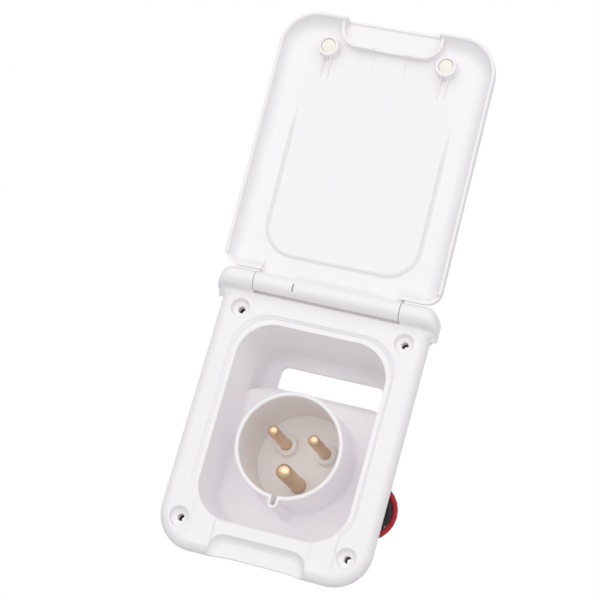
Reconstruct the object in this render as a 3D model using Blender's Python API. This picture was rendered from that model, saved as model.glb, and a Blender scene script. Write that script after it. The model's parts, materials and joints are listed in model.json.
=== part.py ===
"""Caravan power inlet: a flush wall housing with a hinged lid, a round three-pin inlet and its leads.

X runs to the right, Y into the wall and Z up. The wall is the plane Y = 0, and the origin is the centre
of the four screw holes on it. Sizes are in millimetres. A depth is measured from the front of the face
plate into the wall, so a negative depth stands out of the face.
"""

import math

import bmesh
import bpy
from mathutils import Matrix, Vector

MM = 0.001
CLEAR = 0.3  # gap between pieces that touch

# Screw pattern, which sets the size of the face plate
HOLE_PITCH_X = 75.5
HOLE_PITCH_Z = 95.5
HOLE_RADIUS = 1.6
GASKET_HOLE_RADIUS = 1.1
RECESS_RADIUS = 4.2
RECESS_DEPTH = 3.5
RECESS_LIP = 0.6
BOSS_WALL = 1.9

# Gasket and face plate
GASKET_THICKNESS = 1.5
GASKET_INSET = 1.2
PLATE_THICKNESS = 8.0
PLATE_WIDTH = HOLE_PITCH_X + 20.3
PLATE_LOW = -HOLE_PITCH_Z / 2 - 13.05
PLATE_HIGH = HOLE_PITCH_Z / 2 + 14.25
PLATE_EDGE = 5.0
PLATE_CORNER = 17.0
PLATE_TOP_CORNER = 7.0
PLATE_WALL = 2.8
ARCH_RISE = 0.9
ARCH_WIDTH = 46.0
POCKET_MARGIN = 2.3
STIFFENER_HALF = 0.8

# Bowl
OPENING_WIDTH = 68.0
OPENING_LOW = PLATE_LOW + 16.3
OPENING_HIGH = PLATE_HIGH - 18.25
OPENING_CORNER = 16.0
MOUTH_ROUND = 1.7
MOUTH_ROUND_DEPTH = 2.4
LAND_WIDTH = 2.8
LAND_DEPTH = 1.2
BOWL_WALL = 2.2
BOWL_DEPTH = 33.0
BOWL_DRAFT = 0.034
FLOOR_FILLET = 3.0
WELL_DEPTH = 48.0
WELL_LOW = 23.4
WELL_FILLET = 5.0
WELL_SHOULDER = 5.0
WELL_EAR = 10.0
WELL_EAR_RUN = 4.0
WINDOW_WIDTH = 49.4
WINDOW_LOW = WELL_LOW + 0.4
WINDOW_HIGH = OPENING_HIGH - 7.35
WINDOW_CORNER = 3.5
WINDOW_LOW_CORNER = 2.0
CHANNEL_DEPTH = 0.9
CHANNEL_LOW = PLATE_LOW + 8.0
CHANNEL_RUN_OUT = 5.5
CHANNEL_SLOPE = 0.5
CHANNEL_CORNER = 3.0
CHANNEL_FLARE = 2.9

# Finger scoop
SCOOP_TOP = PLATE_LOW + 10.3
SCOOP_WIDTH = 43.4
SCOOP_CORNER = 6.5
SCOOP_SPLAY = 1.2
SCOOP_DEPTH = 3.6
SCOOP_DRAFT = 2.2

# Inlet tube
TUBE_Z = -6.8
TUBE_BORE = 22.0
TUBE_WALL = 2.0
TUBE_RIM_DEPTH = 2.1
TUBE_FILLET = 2.0
TUBE_EDGE = 0.8
KEY_WIDTH = 5.0
KEY_SLOT = 2.2
KEY_REACH = 27.8

# Pin carrier and pins
CARRIER_DEPTH = 38.4
CARRIER_THICKNESS = 6.0
COLLAR_RADIUS = 26.0
COLLAR_THICKNESS = 2.6
EAR_RADIUS = 4.2
EAR_POST = 3.4
EAR_REACH = 27.5
EAR_ANGLES = (30.0, 190.0)
PIN_CIRCLE = 10.7
PIN_TIP_DEPTH = 4.7
LIVE_PIN_RADIUS = 2.5
EARTH_PIN_RADIUS = 3.5
PIN_BOSS_RADIUS = 4.9
PIN_BOSS_HEIGHT = 5.0
TERMINAL_RADIUS = 3.6
TERMINAL_REACH = 7.3

# Small screws
SCREW_RADIUS = 1.2
SCREW_HEAD_RADIUS = 2.5
SCREW_HEAD_HEIGHT = 1.8
SCREW_LENGTH = 7.0
SCREW_SLOT = 0.64

# Leads
LEAD_DIAMETER = 2.8
LEAD_DEPTH = 50.0
LEAD_PITCH = 3.2
LOOP_X = 31.2
LOOP_Z = -19.2
LOOP_RADIUS = 12.4
TAIL_X = -27.0
TAIL_DROP = 1.6
CLAMP_X = 29.6
CLAMP_WIDTH = 5.2
CLAMP_THICKNESS = 2.6
POST_RADIUS = 2.7
TIE_X = -16.0
TIE_WIDTH = 2.4
TIE_BAND = 1.1
TIE_CORNER = 1.4

# Hinge
HINGE_Z = PLATE_HIGH - 1.4
HINGE_RISE = 2.7
BARREL_RADIUS = 4.3
BARREL_GAP = 1.0
KNUCKLE_WIDTH = 66.5
CHEEK_GAP = 0.5
CHEEK_WIDTH = PLATE_WIDTH + 4.6
CHEEK_END = 2.8
FLARE_LOW = HINGE_Z - 7.1
FLARE_FADE = 4.5
FLARE_DEPTH = 2.2
FLARE_PROUD = 1.2
FLARE_SINK = 4.6
FLARE_EDGE = 3.2
HINGE_PIN_RADIUS = 1.25
HINGE_PIN_IN = KNUCKLE_WIDTH / 2 - 15.25
HINGE_PIN_OUT = CHEEK_WIDTH / 2 - 3.7
CHEEK_FILLET = 1.5
KNUCKLE_FILLET = 5.0

# Lid
LID_OPEN = 174.0
LID_WIDTH = PLATE_WIDTH + 3.4
LID_OVERHANG = 3.5
LID_LENGTH = HINGE_Z - PLATE_LOW + LID_OVERHANG
LID_RIM_DROP = 4.2
LID_WALL = 1.4
LID_SKIN = 2.2
LID_CORNER = 17.0
LID_EDGE = 4.0
LID_FILLET = 6.0
LID_ROOT = 5.0
LID_ROOT_CORNER = 6.8
FINGER_SET_BACK = 0.3
FINGER_SKIRT = 4.5
RIB_WIDTH = 70.4
RIB_LOW = 14.3
RIB_CORNER = 14.5
RIB_FULL = LID_LENGTH - 57.6
RIB_END = LID_LENGTH - 38.6
RIB_HEIGHT = 1.4
RIB_BASE = 3.8
RIB_SECTION = (
    (-0.5, -0.8), (-0.5, 0.04), (-0.24, 0.35), (-0.1, 0.92), (0.1, 0.92), (0.24, 0.35), (0.5, 0.04), (0.5, -0.8)
)
MAGNET_X = 27.2
MAGNET_U = LID_LENGTH - 14.6
MAGNET_RADIUS = 3.2
MAGNET_THICKNESS = 2.5
MAGNET_RECESS = 0.4
MAGNET_BOSS = 4.7
GUSSET_SPAN = 3.2
GUSSET_THICKNESS = 0.6
GUSSET_HEIGHT = 2.4
GUSSET_REACH = 14.0
WALL_THICKNESS = 1.4
FINGER_WIDTH = 45.8
FINGER_SPAN = 12.1
FINGER_CORNER = 8.0
LATCH_X = 0.8
LATCH_WIDTH = 14.4
LATCH_REACH = 9.0
SLIT_WIDTH = 0.7
SLIT_X = 16.5
SLIT_LOW = -0.6
SLIT_HIGH = 3.4

# Catch plates
CATCH_WIDTH = 6.0
CATCH_HEIGHT = 7.0
CATCH_THICKNESS = 1.0
CATCH_X = HOLE_PITCH_X / 2 - RECESS_RADIUS - BOSS_WALL - CATCH_WIDTH / 2 - 0.45

# Values that follow from the sizes above
FACE_Y = -(PLATE_THICKNESS + CLEAR + GASKET_THICKNESS)
HOLES = [(sx * HOLE_PITCH_X / 2, sz * HOLE_PITCH_Z / 2) for sx in (-1, 1) for sz in (-1, 1)]
TUBE_OUTER = TUBE_BORE + TUBE_WALL
TUBE_END = CARRIER_DEPTH + CARRIER_THICKNESS - CLEAR
COLLAR_DEPTH = TUBE_END + CLEAR
TERMINAL_DEPTH = COLLAR_DEPTH + COLLAR_THICKNESS + CLEAR
LID_FLOOR = BARREL_RADIUS - LID_SKIN
CLAMP_DEPTH = LEAD_DEPTH + LEAD_DIAMETER / 2 + CLEAR
CHANNEL_INNER = MAGNET_X - MAGNET_BOSS - 0.8
CHANNEL_WAIST = MAGNET_X + MAGNET_BOSS + 0.4
MAGNET_TOP = CLEAR + 0.1 - HINGE_RISE - CHANNEL_DEPTH
HINGE = Vector((0.0, FACE_Y - HINGE_RISE, HINGE_Z)) * MM

# Colours and finishes: base colour, roughness, metallic
FINISHES = {
    "white_plastic": ((0.90, 0.89, 0.91), 0.32, 0.0),
    "cream_magnet": ((0.86, 0.82, 0.72), 0.45, 0.0),
    "brass": ((0.78, 0.56, 0.25), 0.22, 1.0),
    "steel": ((0.62, 0.62, 0.63), 0.30, 1.0),
    "black_foam": ((0.035, 0.035, 0.038), 0.85, 0.0),
    "red_sheath": ((0.50, 0.02, 0.03), 0.42, 0.0),
    "black_sheath": ((0.015, 0.015, 0.017), 0.42, 0.0),
    "green_sheath": ((0.20, 0.36, 0.30), 0.42, 0.0),
    "white_tie": ((0.85, 0.85, 0.83), 0.45, 0.0),
}


def finish(name):
    """The named material, made on its first use."""
    material = bpy.data.materials.get(name)
    if material:
        return material
    colour, roughness, metallic = FINISHES[name]
    material = bpy.data.materials.new(name)
    material.use_nodes = True
    shader = material.node_tree.nodes["Principled BSDF"]
    shader.inputs["Base Color"].default_value = (*colour, 1.0)
    shader.inputs["Roughness"].default_value = roughness
    shader.inputs["Metallic"].default_value = metallic
    return material


def place(name, data, material=None, at=None):
    """An object for this data in the scene."""
    piece = bpy.data.objects.new(name, data)
    bpy.context.scene.collection.objects.link(piece)
    if material:
        data.materials.append(finish(material))
    if at is not None:
        piece.location = at
    return piece


def solid(name, bm, material=None, at=None):
    """Closes a bmesh drawn in millimetres into an object with its faces pointing out."""
    bmesh.ops.recalc_face_normals(bm, faces=bm.faces)
    bmesh.ops.scale(bm, vec=(MM, MM, MM), verts=bm.verts)
    mesh = bpy.data.meshes.new(name)
    bm.to_mesh(mesh)
    bm.free()
    mesh.shade_smooth()
    mesh.set_sharp_from_angle(angle=math.radians(30))
    return place(name, mesh, material, at)


def combine(target, tool, operation):
    """Adds a Boolean with this tool to the target and turns the tool into a hidden helper."""
    tool.hide_render = True
    tool.display_type = "WIRE"
    modifier = target.modifiers.new(tool.name, "BOOLEAN")
    modifier.operation = operation
    modifier.object = tool
    return target


def join(target, tool):
    """Adds a form to the target."""
    return combine(target, tool, "UNION")


def cut(target, tool):
    """Takes a form away from the target."""
    return combine(target, tool, "DIFFERENCE")


def loft_into(bm, rings):
    """Skins rings of equal length, in order, and caps both ends."""
    rows = [[bm.verts.new(point) for point in ring] for ring in rings]
    count = len(rows[0])
    for low, high in zip(rows, rows[1:]):
        for i in range(count):
            j = (i + 1) % count
            bm.faces.new((low[i], low[j], high[j], high[i]))
    bm.faces.new(rows[0])
    bm.faces.new(rows[-1])


def loft(name, rings, material=None, at=None):
    """A closed object skinned over rings."""
    bm = bmesh.new()
    loft_into(bm, rings)
    return solid(name, bm, material, at)


def turned_into(bm, profile, centre, segments):
    """Turns (radius, y) points about a Y axis through centre = (x, z). The profile starts and ends on it."""
    rings = []
    for radius, y in profile[1:-1]:
        ring = []
        for i in range(segments):
            angle = 2 * math.pi * i / segments
            x, z = centre[0] + radius * math.cos(angle), centre[1] + radius * math.sin(angle)
            ring.append(bm.verts.new((x, y, z)))
        rings.append(ring)
    first = bm.verts.new((centre[0], profile[0][1], centre[1]))
    last = bm.verts.new((centre[0], profile[-1][1], centre[1]))
    for i in range(segments):
        j = (i + 1) % segments
        bm.faces.new((first, rings[0][i], rings[0][j]))
        bm.faces.new((last, rings[-1][j], rings[-1][i]))
        for low, high in zip(rings, rings[1:]):
            bm.faces.new((low[i], low[j], high[j], high[i]))


def turned(name, profile, centre=(0.0, 0.0), segments=24, material=None, at=None):
    """One turned object."""
    bm = bmesh.new()
    turned_into(bm, profile, centre, segments)
    return solid(name, bm, material, at)


def box_into(bm, low, high):
    """A rectangular block between two corners."""
    corners = [[x, y, z] for x in (low[0], high[0]) for y in (low[1], high[1]) for z in (low[2], high[2])]
    verts = [bm.verts.new(c) for c in corners]
    for face in ((0, 1, 3, 2), (4, 6, 7, 5), (0, 4, 5, 1), (2, 3, 7, 6), (0, 2, 6, 4), (1, 5, 7, 3)):
        bm.faces.new([verts[i] for i in face])


def box(name, low, high, material=None, at=None):
    """A rectangular block as an object."""
    bm = bmesh.new()
    box_into(bm, low, high)
    return solid(name, bm, material, at)


def rod(name, radius, start, end, segments=24, material=None, at=None):
    """A plain round bar between two points."""
    bm = bmesh.new()
    start, end = Vector(start), Vector(end)
    axis = end - start
    turn = Vector((0, 0, 1)).rotation_difference(axis).to_matrix().to_4x4()
    middle = Matrix.Translation((start + end) / 2)
    bmesh.ops.create_cone(
        bm, cap_ends=True, segments=segments, radius1=radius, radius2=radius, depth=axis.length,
        matrix=middle @ turn,
    )
    return solid(name, bm, material, at)


def arc(cx, cz, radius, start, end, steps):
    """Points of a circular arc, both ends included, with angles in degrees."""
    angles = [math.radians(start + (end - start) * i / steps) for i in range(steps + 1)]
    return [(cx + radius * math.cos(a), cz + radius * math.sin(a)) for a in angles]


def rounded(left, right, low, high, r_low, r_high, steps=6):
    """A rectangle with round corners, anticlockwise from its lower left corner."""
    return (
        arc(left + r_low, low + r_low, r_low, 180, 270, steps)
        + arc(right - r_low, low + r_low, r_low, 270, 360, steps)
        + arc(right - r_high, high - r_high, r_high, 0, 90, steps)
        + arc(left + r_high, high - r_high, r_high, 90, 180, steps)
    )


def at_depth(outline, depth):
    """Lifts an outline of (x, z) to a depth behind the face."""
    return [(x, FACE_Y + depth, z) for x, z in outline]


def ease(t):
    """A smooth step from 0 to 1."""
    t = min(max(t, 0.0), 1.0)
    return t * t * (3 - 2 * t)


def quarter_round(radius, steps):
    """(inset, drop) pairs along an edge rounding, from the face down to the side."""
    angles = [math.pi / 2 * i / steps for i in range(steps + 1)]
    return [(radius * (1 - math.sin(a)), radius * (1 - math.cos(a))) for a in angles]


def plate_outline(inset):
    """The face plate's edge, moved in by inset, with the low arch in its bottom edge."""
    half = PLATE_WIDTH / 2 - inset
    low = PLATE_LOW + inset
    corner = PLATE_CORNER - inset
    points = arc(-half + corner, low + corner, corner, 180, 270, 6)
    for i in range(1, 10):
        x = (i / 5 - 1) * ARCH_WIDTH / 2
        points.append((x, low + ARCH_RISE * ease(2 - 2 * abs(x) / (ARCH_WIDTH / 2) * 0.98)))
    points += arc(half - corner, low + corner, corner, 270, 360, 6)
    top = max(PLATE_TOP_CORNER - inset, 1.0)
    high = PLATE_HIGH - inset
    points += arc(half - top, high - top, top, 0, 90, 4)
    points += arc(-half + top, high - top, top, 90, 180, 4)
    return points


def opening_outline(inset, depth=0.0, steps=6):
    """The bowl's mouth, moved in by inset and by the draft at this depth."""
    move = inset + BOWL_DRAFT * max(depth, 0.0)
    half = OPENING_WIDTH / 2 - move
    corner = max(OPENING_CORNER - move, 2.0)
    return rounded(-half, half, OPENING_LOW + move, OPENING_HIGH - move, corner, corner, steps)


def well_outline(depth, inset=0.0):
    """The deep end above the pedestal. Its low edge turns down round the pedestal's corners."""
    move = inset + BOWL_DRAFT * depth
    half = OPENING_WIDTH / 2 - move
    high = OPENING_HIGH - move
    corner = OPENING_CORNER - move
    sink = min(max(depth - BOWL_DEPTH, 0.0), WELL_SHOULDER)
    drop = WELL_SHOULDER - math.sqrt(WELL_SHOULDER**2 - (WELL_SHOULDER - sink) ** 2)
    points = []
    steps = 16
    for i in range(steps + 1):
        x = (2 * i / steps - 1) * half
        over = max(abs(x) - (half - WELL_EAR), 0.0)
        ear = WELL_EAR - math.sqrt(WELL_EAR**2 - (over * 0.9) ** 2)
        points.append((x, WELL_LOW - ear - drop * (1 - ease(over / WELL_EAR)) + inset * 0.1))
    points += arc(half - corner, high - corner, corner, 0, 90, 6)
    points += arc(-half + corner, high - corner, corner, 90, 180, 6)
    return points


def well_back_outline(depth, inset):
    """The outside of the deep end, with room below its ears for their wall."""
    move = inset + BOWL_DRAFT * depth - BOWL_WALL
    half = OPENING_WIDTH / 2 - move
    high = OPENING_HIGH - move
    corner = OPENING_CORNER - move
    step = WELL_LOW - BOWL_WALL + inset
    foot = step - WELL_EAR * 0.6
    ear = WELL_EAR + BOWL_WALL
    run = ear + WELL_EAR_RUN
    points = [(-half, foot), (-half + ear, foot), (-half + run, step)]
    points += [(half - run, step), (half - ear, foot), (half, foot)]
    points += arc(half - corner, high - corner, corner, 0, 90, 6)
    points += arc(-half + corner, high - corner, corner, 90, 180, 6)
    return points


def scoop_outline(inset):
    """The finger scoop's edge: level on top with round corners, and splayed towards the plate's bottom."""
    half = SCOOP_WIDTH / 2 - inset
    top = SCOOP_TOP - inset
    low = PLATE_LOW - 4.0
    corner = SCOOP_CORNER - inset * 0.3
    points = [(half + SCOOP_SPLAY, low)]
    points += arc(half - corner, top - corner, corner, 0, 90, 6)
    points += arc(-half + corner, top - corner, corner, 90, 180, 6)
    points.append((-half - SCOOP_SPLAY, low))
    return points


def plate_shell():
    """The hollow face plate: rounded front edge, and a pocket behind that leaves its wall."""
    rings = [at_depth(plate_outline(0.5), PLATE_THICKNESS)]
    rings += [at_depth(plate_outline(inset), drop) for inset, drop in reversed(quarter_round(PLATE_EDGE, 4))]
    plate = loft("housing", rings, "white_plastic")
    pocket_half = PLATE_WIDTH / 2 - PLATE_WALL
    corner = PLATE_CORNER - PLATE_WALL
    high = HINGE_Z - BARREL_RADIUS - BARREL_GAP - PLATE_WALL
    rings = []
    low = PLATE_LOW + PLATE_WALL + POCKET_MARGIN
    top_corner = PLATE_TOP_CORNER - 1.0
    for depth, inset in ((0.0, 1.6), (0.6, 0.6), (2.0, 0.0), (PLATE_THICKNESS, 0.0)):
        outline = rounded(
            -pocket_half + inset, pocket_half - inset, low + inset, high - inset, corner - inset,
            top_corner - inset, 5,
        )
        rings.append(at_depth(outline, PLATE_WALL + depth))
    cut(plate, loft("back_pocket", rings))
    return plate


def add_bosses(plate):
    """Screw bosses, stiffening ribs and the block behind the finger scoop, all inside the back pocket."""
    bm = bmesh.new()
    front = FACE_Y + PLATE_WALL * 0.5
    back = FACE_Y + PLATE_THICKNESS
    for centre in HOLES:
        radius = RECESS_RADIUS + BOSS_WALL
        turned_into(bm, [(0, front), (radius, front), (radius, back), (0, back)], centre, 16)
    join(plate, solid("screw_bosses", bm))
    bm = bmesh.new()
    half = PLATE_WIDTH / 2 - PLATE_WALL / 2
    reach = OPENING_WIDTH / 2
    for z in (-HOLE_PITCH_Z * 0.3, 0.0, HOLE_PITCH_Z * 0.3):
        for side in (-1, 1):
            xs = sorted((side * reach, side * half))
            low = (xs[0], front, z - STIFFENER_HALF)
            box_into(bm, low, (xs[1], back - STIFFENER_HALF, z + STIFFENER_HALF))
    top = HINGE_Z - BARREL_RADIUS - BARREL_GAP - 1.0
    for x in (-HOLE_PITCH_X * 0.24, HOLE_PITCH_X * 0.24):
        low = (x - STIFFENER_HALF, front, OPENING_HIGH - 1)
        box_into(bm, low, (x + STIFFENER_HALF, back - STIFFENER_HALF, top))
    join(plate, solid("plate_ribs", bm))
    half = SCOOP_WIDTH / 2 + 1.2
    depths = (PLATE_WALL * 0.5, SCOOP_DEPTH + 2.0)
    low = (-half, FACE_Y + depths[0], PLATE_LOW + PLATE_WALL)
    high = (half, FACE_Y + depths[1], OPENING_LOW - 1.0)
    join(plate, box("scoop_block", low, high))


def add_bowl(plate):
    """The outside of the bowl and of its deep end."""
    rings = []
    wall = -BOWL_WALL
    back = BOWL_DEPTH + BOWL_WALL
    steps = ((PLATE_WALL * 0.5, wall), (back - 2.5, wall), (back - 0.7, wall + 0.8), (back, wall + 2.6))
    for depth, inset in steps:
        rings.append(at_depth(opening_outline(inset, depth), depth))
    join(plate, loft("bowl_outside", rings))
    rings = []
    back = WELL_DEPTH + BOWL_WALL
    for depth, inset in ((BOWL_DEPTH - 6, 0.3), (back - 2.5, 0.0), (back - 0.7, 0.8), (back, 2.1)):
        rings.append(at_depth(well_back_outline(depth, inset), depth))
    join(plate, loft("well_outside", rings))


def add_cheeks(plate):
    """The two hinge cheeks that carry the lid, and the flares that run from them down the plate's sides."""
    inner = KNUCKLE_WIDTH / 2 + CHEEK_GAP
    outer = CHEEK_WIDTH / 2
    steps = [(inner, 0.0)]
    for i in range(4):
        angle = math.pi / 2 * i / 3
        steps.append((outer - CHEEK_END + CHEEK_END * math.sin(angle), CHEEK_END * (1 - math.cos(angle))))
    centre_y = FACE_Y - HINGE_RISE
    back = FACE_Y + PLATE_THICKNESS
    for side, name in ((-1, "left"), (1, "right")):
        rings = []
        for x, inset in steps:
            curve = cheek_curve(BARREL_RADIUS - inset)
            ring = [(side * x, centre_y - out, HINGE_Z + along) for along, out in curve]
            rings.append([(side * x, back, ring[0][2])] + ring + [(side * x, back, ring[-1][2])])
        join(plate, loft(f"cheek_{name}", rings))
        top = HINGE_Z - 1.0
        heights = [top + (FLARE_LOW - FLARE_FADE - top) * i / 9 for i in range(10)]
        join(plate, loft(f"flare_{name}", [flare_ring(side, z) for z in heights]))


def cheek_curve(radius):
    """A cheek's section as (along, out) from the hinge axis: a round top and front, and a fillet to the face."""
    reach = math.sqrt((radius + CHEEK_FILLET) ** 2 - (HINGE_RISE - CHEEK_FILLET) ** 2)
    lean = math.degrees(math.atan2(HINGE_RISE - CHEEK_FILLET, reach))
    curve = arc(0.0, 0.0, radius, 0, 180 + lean, 8)
    fillet = arc(-reach, CHEEK_FILLET - HINGE_RISE - 0.02, CHEEK_FILLET, lean, -90, 4)
    return curve + fillet[1:]


def flare_ring(side, z):
    """The flare's section at height z: its front sinks behind the face and its side fades into the plate's."""
    sink = ease((HINGE_Z - BARREL_RADIUS + 1.9 - z) / FLARE_SINK)
    front = FACE_Y - FLARE_PROUD + (FLARE_PROUD + FLARE_DEPTH) * sink
    back = FACE_Y + PLATE_THICKNESS
    edge = PLATE_WIDTH / 2 - 0.6
    outer = edge + (CHEEK_WIDTH / 2 - edge) * ease((z - FLARE_LOW + FLARE_FADE) / FLARE_FADE)
    inner = PLATE_WIDTH / 2 - PLATE_EDGE - 2.0
    corner = arc(outer - FLARE_EDGE, front + FLARE_EDGE, FLARE_EDGE, -90, 0, 4)
    points = [(inner, back), (inner, front)] + corner + [(outer, back)]
    return [(side * x, y, z) for x, y in points]


def cut_mouth(plate):
    """Hollows the bowl, its deep end and the land round its rounded mouth."""
    rings = [at_depth(opening_outline(-MOUTH_ROUND), -1.5)]
    for i in range(5):
        angle = math.pi / 2 * i / 4
        outline = opening_outline(-MOUTH_ROUND * (1 - math.sin(angle)))
        rings.append(at_depth(outline, MOUTH_ROUND_DEPTH * (1 - math.cos(angle))))
    for inset, drop in reversed(quarter_round(FLOOR_FILLET, 3)):
        rings.append(at_depth(opening_outline(inset, BOWL_DEPTH), BOWL_DEPTH - drop))
    cut(plate, loft("bowl_hollow", rings))
    rings = [at_depth(well_outline(d), d) for d in (BOWL_DEPTH - 2.0, BOWL_DEPTH, BOWL_DEPTH + 0.5)]
    rings += [at_depth(well_outline(d), d) for d in (BOWL_DEPTH + 1.6, BOWL_DEPTH + 3.2, BOWL_DEPTH + WELL_SHOULDER)]
    for inset, drop in reversed(quarter_round(WELL_FILLET, 4)):
        rings.append(at_depth(well_outline(WELL_DEPTH - drop, inset), WELL_DEPTH - drop))
    cut(plate, loft("well_hollow", rings))
    outer = OPENING_WIDTH / 2 + LAND_WIDTH
    corner = OPENING_CORNER + LAND_WIDTH * 0.3
    rings = []
    high = OPENING_HIGH + LAND_WIDTH + 0.4
    for depth, grow in ((-1.0, 0.7), (0.02, 0.65), (0.4, 0.4), (LAND_DEPTH * 0.7, 0.05), (LAND_DEPTH, -0.4)):
        outline = rounded(-outer - grow, outer + grow, OPENING_LOW - grow, high + grow, corner, corner, 8)
        rings.append(at_depth(outline, depth))
    cut(plate, loft("land", rings))


def channel_outline(side, grow, low):
    """One channel: straight beside the scoop, round its low end, and waisted beside the screw's pad."""
    inner = CHANNEL_INNER - grow
    waist = CHANNEL_WAIST + grow
    top = OPENING_LOW + OPENING_CORNER * 0.8
    points = [(inner, top)]
    points += arc(inner + CHANNEL_CORNER, low + CHANNEL_CORNER, CHANNEL_CORNER, 180, 270, 3)
    points += arc(waist - CHANNEL_CORNER, low + CHANNEL_CORNER, CHANNEL_CORNER, 270, 360, 3)
    for i in range(1, 6):
        t = i / 5
        z = OPENING_LOW + (top - OPENING_LOW) * t
        points.append((waist + CHANNEL_FLARE * t * t, z))
    return [(side * x, z) for x, z in points]


def cut_channels(plate):
    """The shallow runs with sloped sides that take the lid's magnet bosses and run out above the bottom edge."""
    for side, name in ((-1, "left"), (1, "right")):
        rings = []
        for share, grow in ((-1.0, 1.0), (0.0, 1.0), (0.35, 0.5), (0.8, 0.0), (1.0, -0.7)):
            low = CHANNEL_LOW - CHANNEL_RUN_OUT * (1 - max(share, 0.0))
            rings.append(at_depth(channel_outline(side, grow * CHANNEL_SLOPE, low), share * CHANNEL_DEPTH))
        cut(plate, loft(f"channel_{name}", rings))


def cut_scoop(plate):
    """The finger scoop in the bottom edge: a wall that curves from a crisp edge into a level floor."""
    rings = [at_depth(scoop_outline(0.0), -1.0)]
    for i in range(6):
        angle = math.pi / 2 * i / 5
        outline = scoop_outline(SCOOP_DRAFT * 1.5 * (1 - math.cos(angle)))
        rings.append(at_depth(outline, SCOOP_DEPTH * math.sin(angle)))
    cut(plate, loft("scoop", rings))


def cut_screw_holes(plate):
    """Four round recesses with soft lips, each with a through hole."""
    bm = bmesh.new()
    for centre in HOLES:
        profile = [
            (0, -1.0), (RECESS_RADIUS + RECESS_LIP, -1.0), (RECESS_RADIUS + RECESS_LIP, 0.0),
            (RECESS_RADIUS, RECESS_LIP), (RECESS_RADIUS, RECESS_DEPTH - 1.0),
            (RECESS_RADIUS - 1.0, RECESS_DEPTH), (HOLE_RADIUS, RECESS_DEPTH),
            (HOLE_RADIUS, PLATE_THICKNESS + 1), (0, PLATE_THICKNESS + 1),
        ]
        turned_into(bm, [(r, FACE_Y + d) for r, d in profile], centre, 18)
    cut(plate, solid("screw_holes", bm))


def keyed_circle(radius, key_half, reach, steps=36):
    """A circle about the tube's axis with a round-ended key at its lowest point."""
    side = math.asin(key_half / radius)
    start = math.degrees(side) - 90
    outline = arc(0, TUBE_Z, radius, start, 180 - start, steps)
    return outline + arc(0, TUBE_Z - reach + key_half, key_half, 180, 360, 6)


def add_tube(plate):
    """The inlet's round tube with its keyway, filleted to the bowl's floor and open at both ends."""
    rings = []
    fillet = TUBE_FILLET
    for depth, grow in (
        (TUBE_RIM_DEPTH, -TUBE_EDGE), (TUBE_RIM_DEPTH + 0.15, -TUBE_EDGE / 2), (TUBE_RIM_DEPTH + TUBE_EDGE, 0.0),
        (BOWL_DEPTH - fillet, 0.0), (BOWL_DEPTH - fillet * 0.4, fillet * 0.3), (BOWL_DEPTH, fillet),
        (BOWL_DEPTH + BOWL_WALL * 0.4, fillet), (BOWL_DEPTH + BOWL_WALL * 0.5, 0.0), (TUBE_END, 0.0),
    ):
        outline = keyed_circle(TUBE_OUTER + grow, KEY_WIDTH / 2 + grow, KEY_REACH + grow)
        rings.append(at_depth(outline, depth))
    join(plate, loft("tube_outside", rings))
    rings = []
    edge = TUBE_EDGE * 0.75
    for depth, grow in (
        (TUBE_RIM_DEPTH - 1, edge), (TUBE_RIM_DEPTH, edge), (TUBE_RIM_DEPTH + 0.2, edge * 0.4),
        (TUBE_RIM_DEPTH + TUBE_EDGE, 0.0), (TUBE_END + 1, 0.0),
    ):
        reach = KEY_REACH - (KEY_WIDTH - KEY_SLOT) / 2 + grow * 0.6
        rings.append(at_depth(keyed_circle(TUBE_BORE + grow, KEY_SLOT / 2 + grow * 0.6, reach), depth))
    cut(plate, loft("tube_bore", rings))


def ear_places():
    """Where the carrier's two screws stand, as (x, z)."""
    turns = [math.radians(a) for a in EAR_ANGLES]
    return [(EAR_REACH * math.cos(a), TUBE_Z + EAR_REACH * math.sin(a)) for a in turns]


def clamp_places():
    """Where the cord clamp's two screws stand, as (x, z)."""
    span = LEAD_PITCH + LEAD_DIAMETER / 2 + POST_RADIUS + 1.0
    middle = LOOP_Z + LOOP_RADIUS - LEAD_PITCH
    return [(CLAMP_X, middle + span), (CLAMP_X, middle - span)]


def add_rear_posts(plate):
    """Posts behind the pedestal for the pin carrier's screws and the cord clamp, and the clamp's saddle."""
    bm = bmesh.new()
    foot = FACE_Y + BOWL_DEPTH + BOWL_WALL * 0.5
    end = FACE_Y + TUBE_END
    for centre in ear_places():
        turned_into(bm, [(0, foot), (EAR_POST, foot), (EAR_POST, end), (0, end)], centre, 16)
    join(plate, solid("carrier_posts", bm))
    bm = bmesh.new()
    top = FACE_Y + CLAMP_DEPTH - CLEAR
    for centre in clamp_places():
        turned_into(bm, [(0, foot), (POST_RADIUS, foot), (POST_RADIUS, top), (0, top)], centre, 16)
    join(plate, solid("clamp_posts", bm))
    upper, lower = clamp_places()
    low = (CLAMP_X - 1.2, foot, lower[1])
    high = (CLAMP_X + 1.2, FACE_Y + LEAD_DEPTH - LEAD_DIAMETER / 2 - CLEAR, upper[1])
    join(plate, box("clamp_saddle", low, high))
    bm = bmesh.new()
    for centre in ear_places():
        drill_into(bm, centre, TUBE_END)
    for centre in clamp_places():
        drill_into(bm, centre, CLAMP_DEPTH)
    cut(plate, solid("post_holes", bm))


def drill_into(bm, centre, mouth):
    """A blind screw hole whose mouth is at this depth."""
    radius = SCREW_RADIUS + CLEAR
    start, end = FACE_Y + mouth + 1, FACE_Y + mouth - SCREW_LENGTH
    turned_into(bm, [(0, start), (radius, start), (radius, end), (0, end)], centre, 12)


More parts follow.
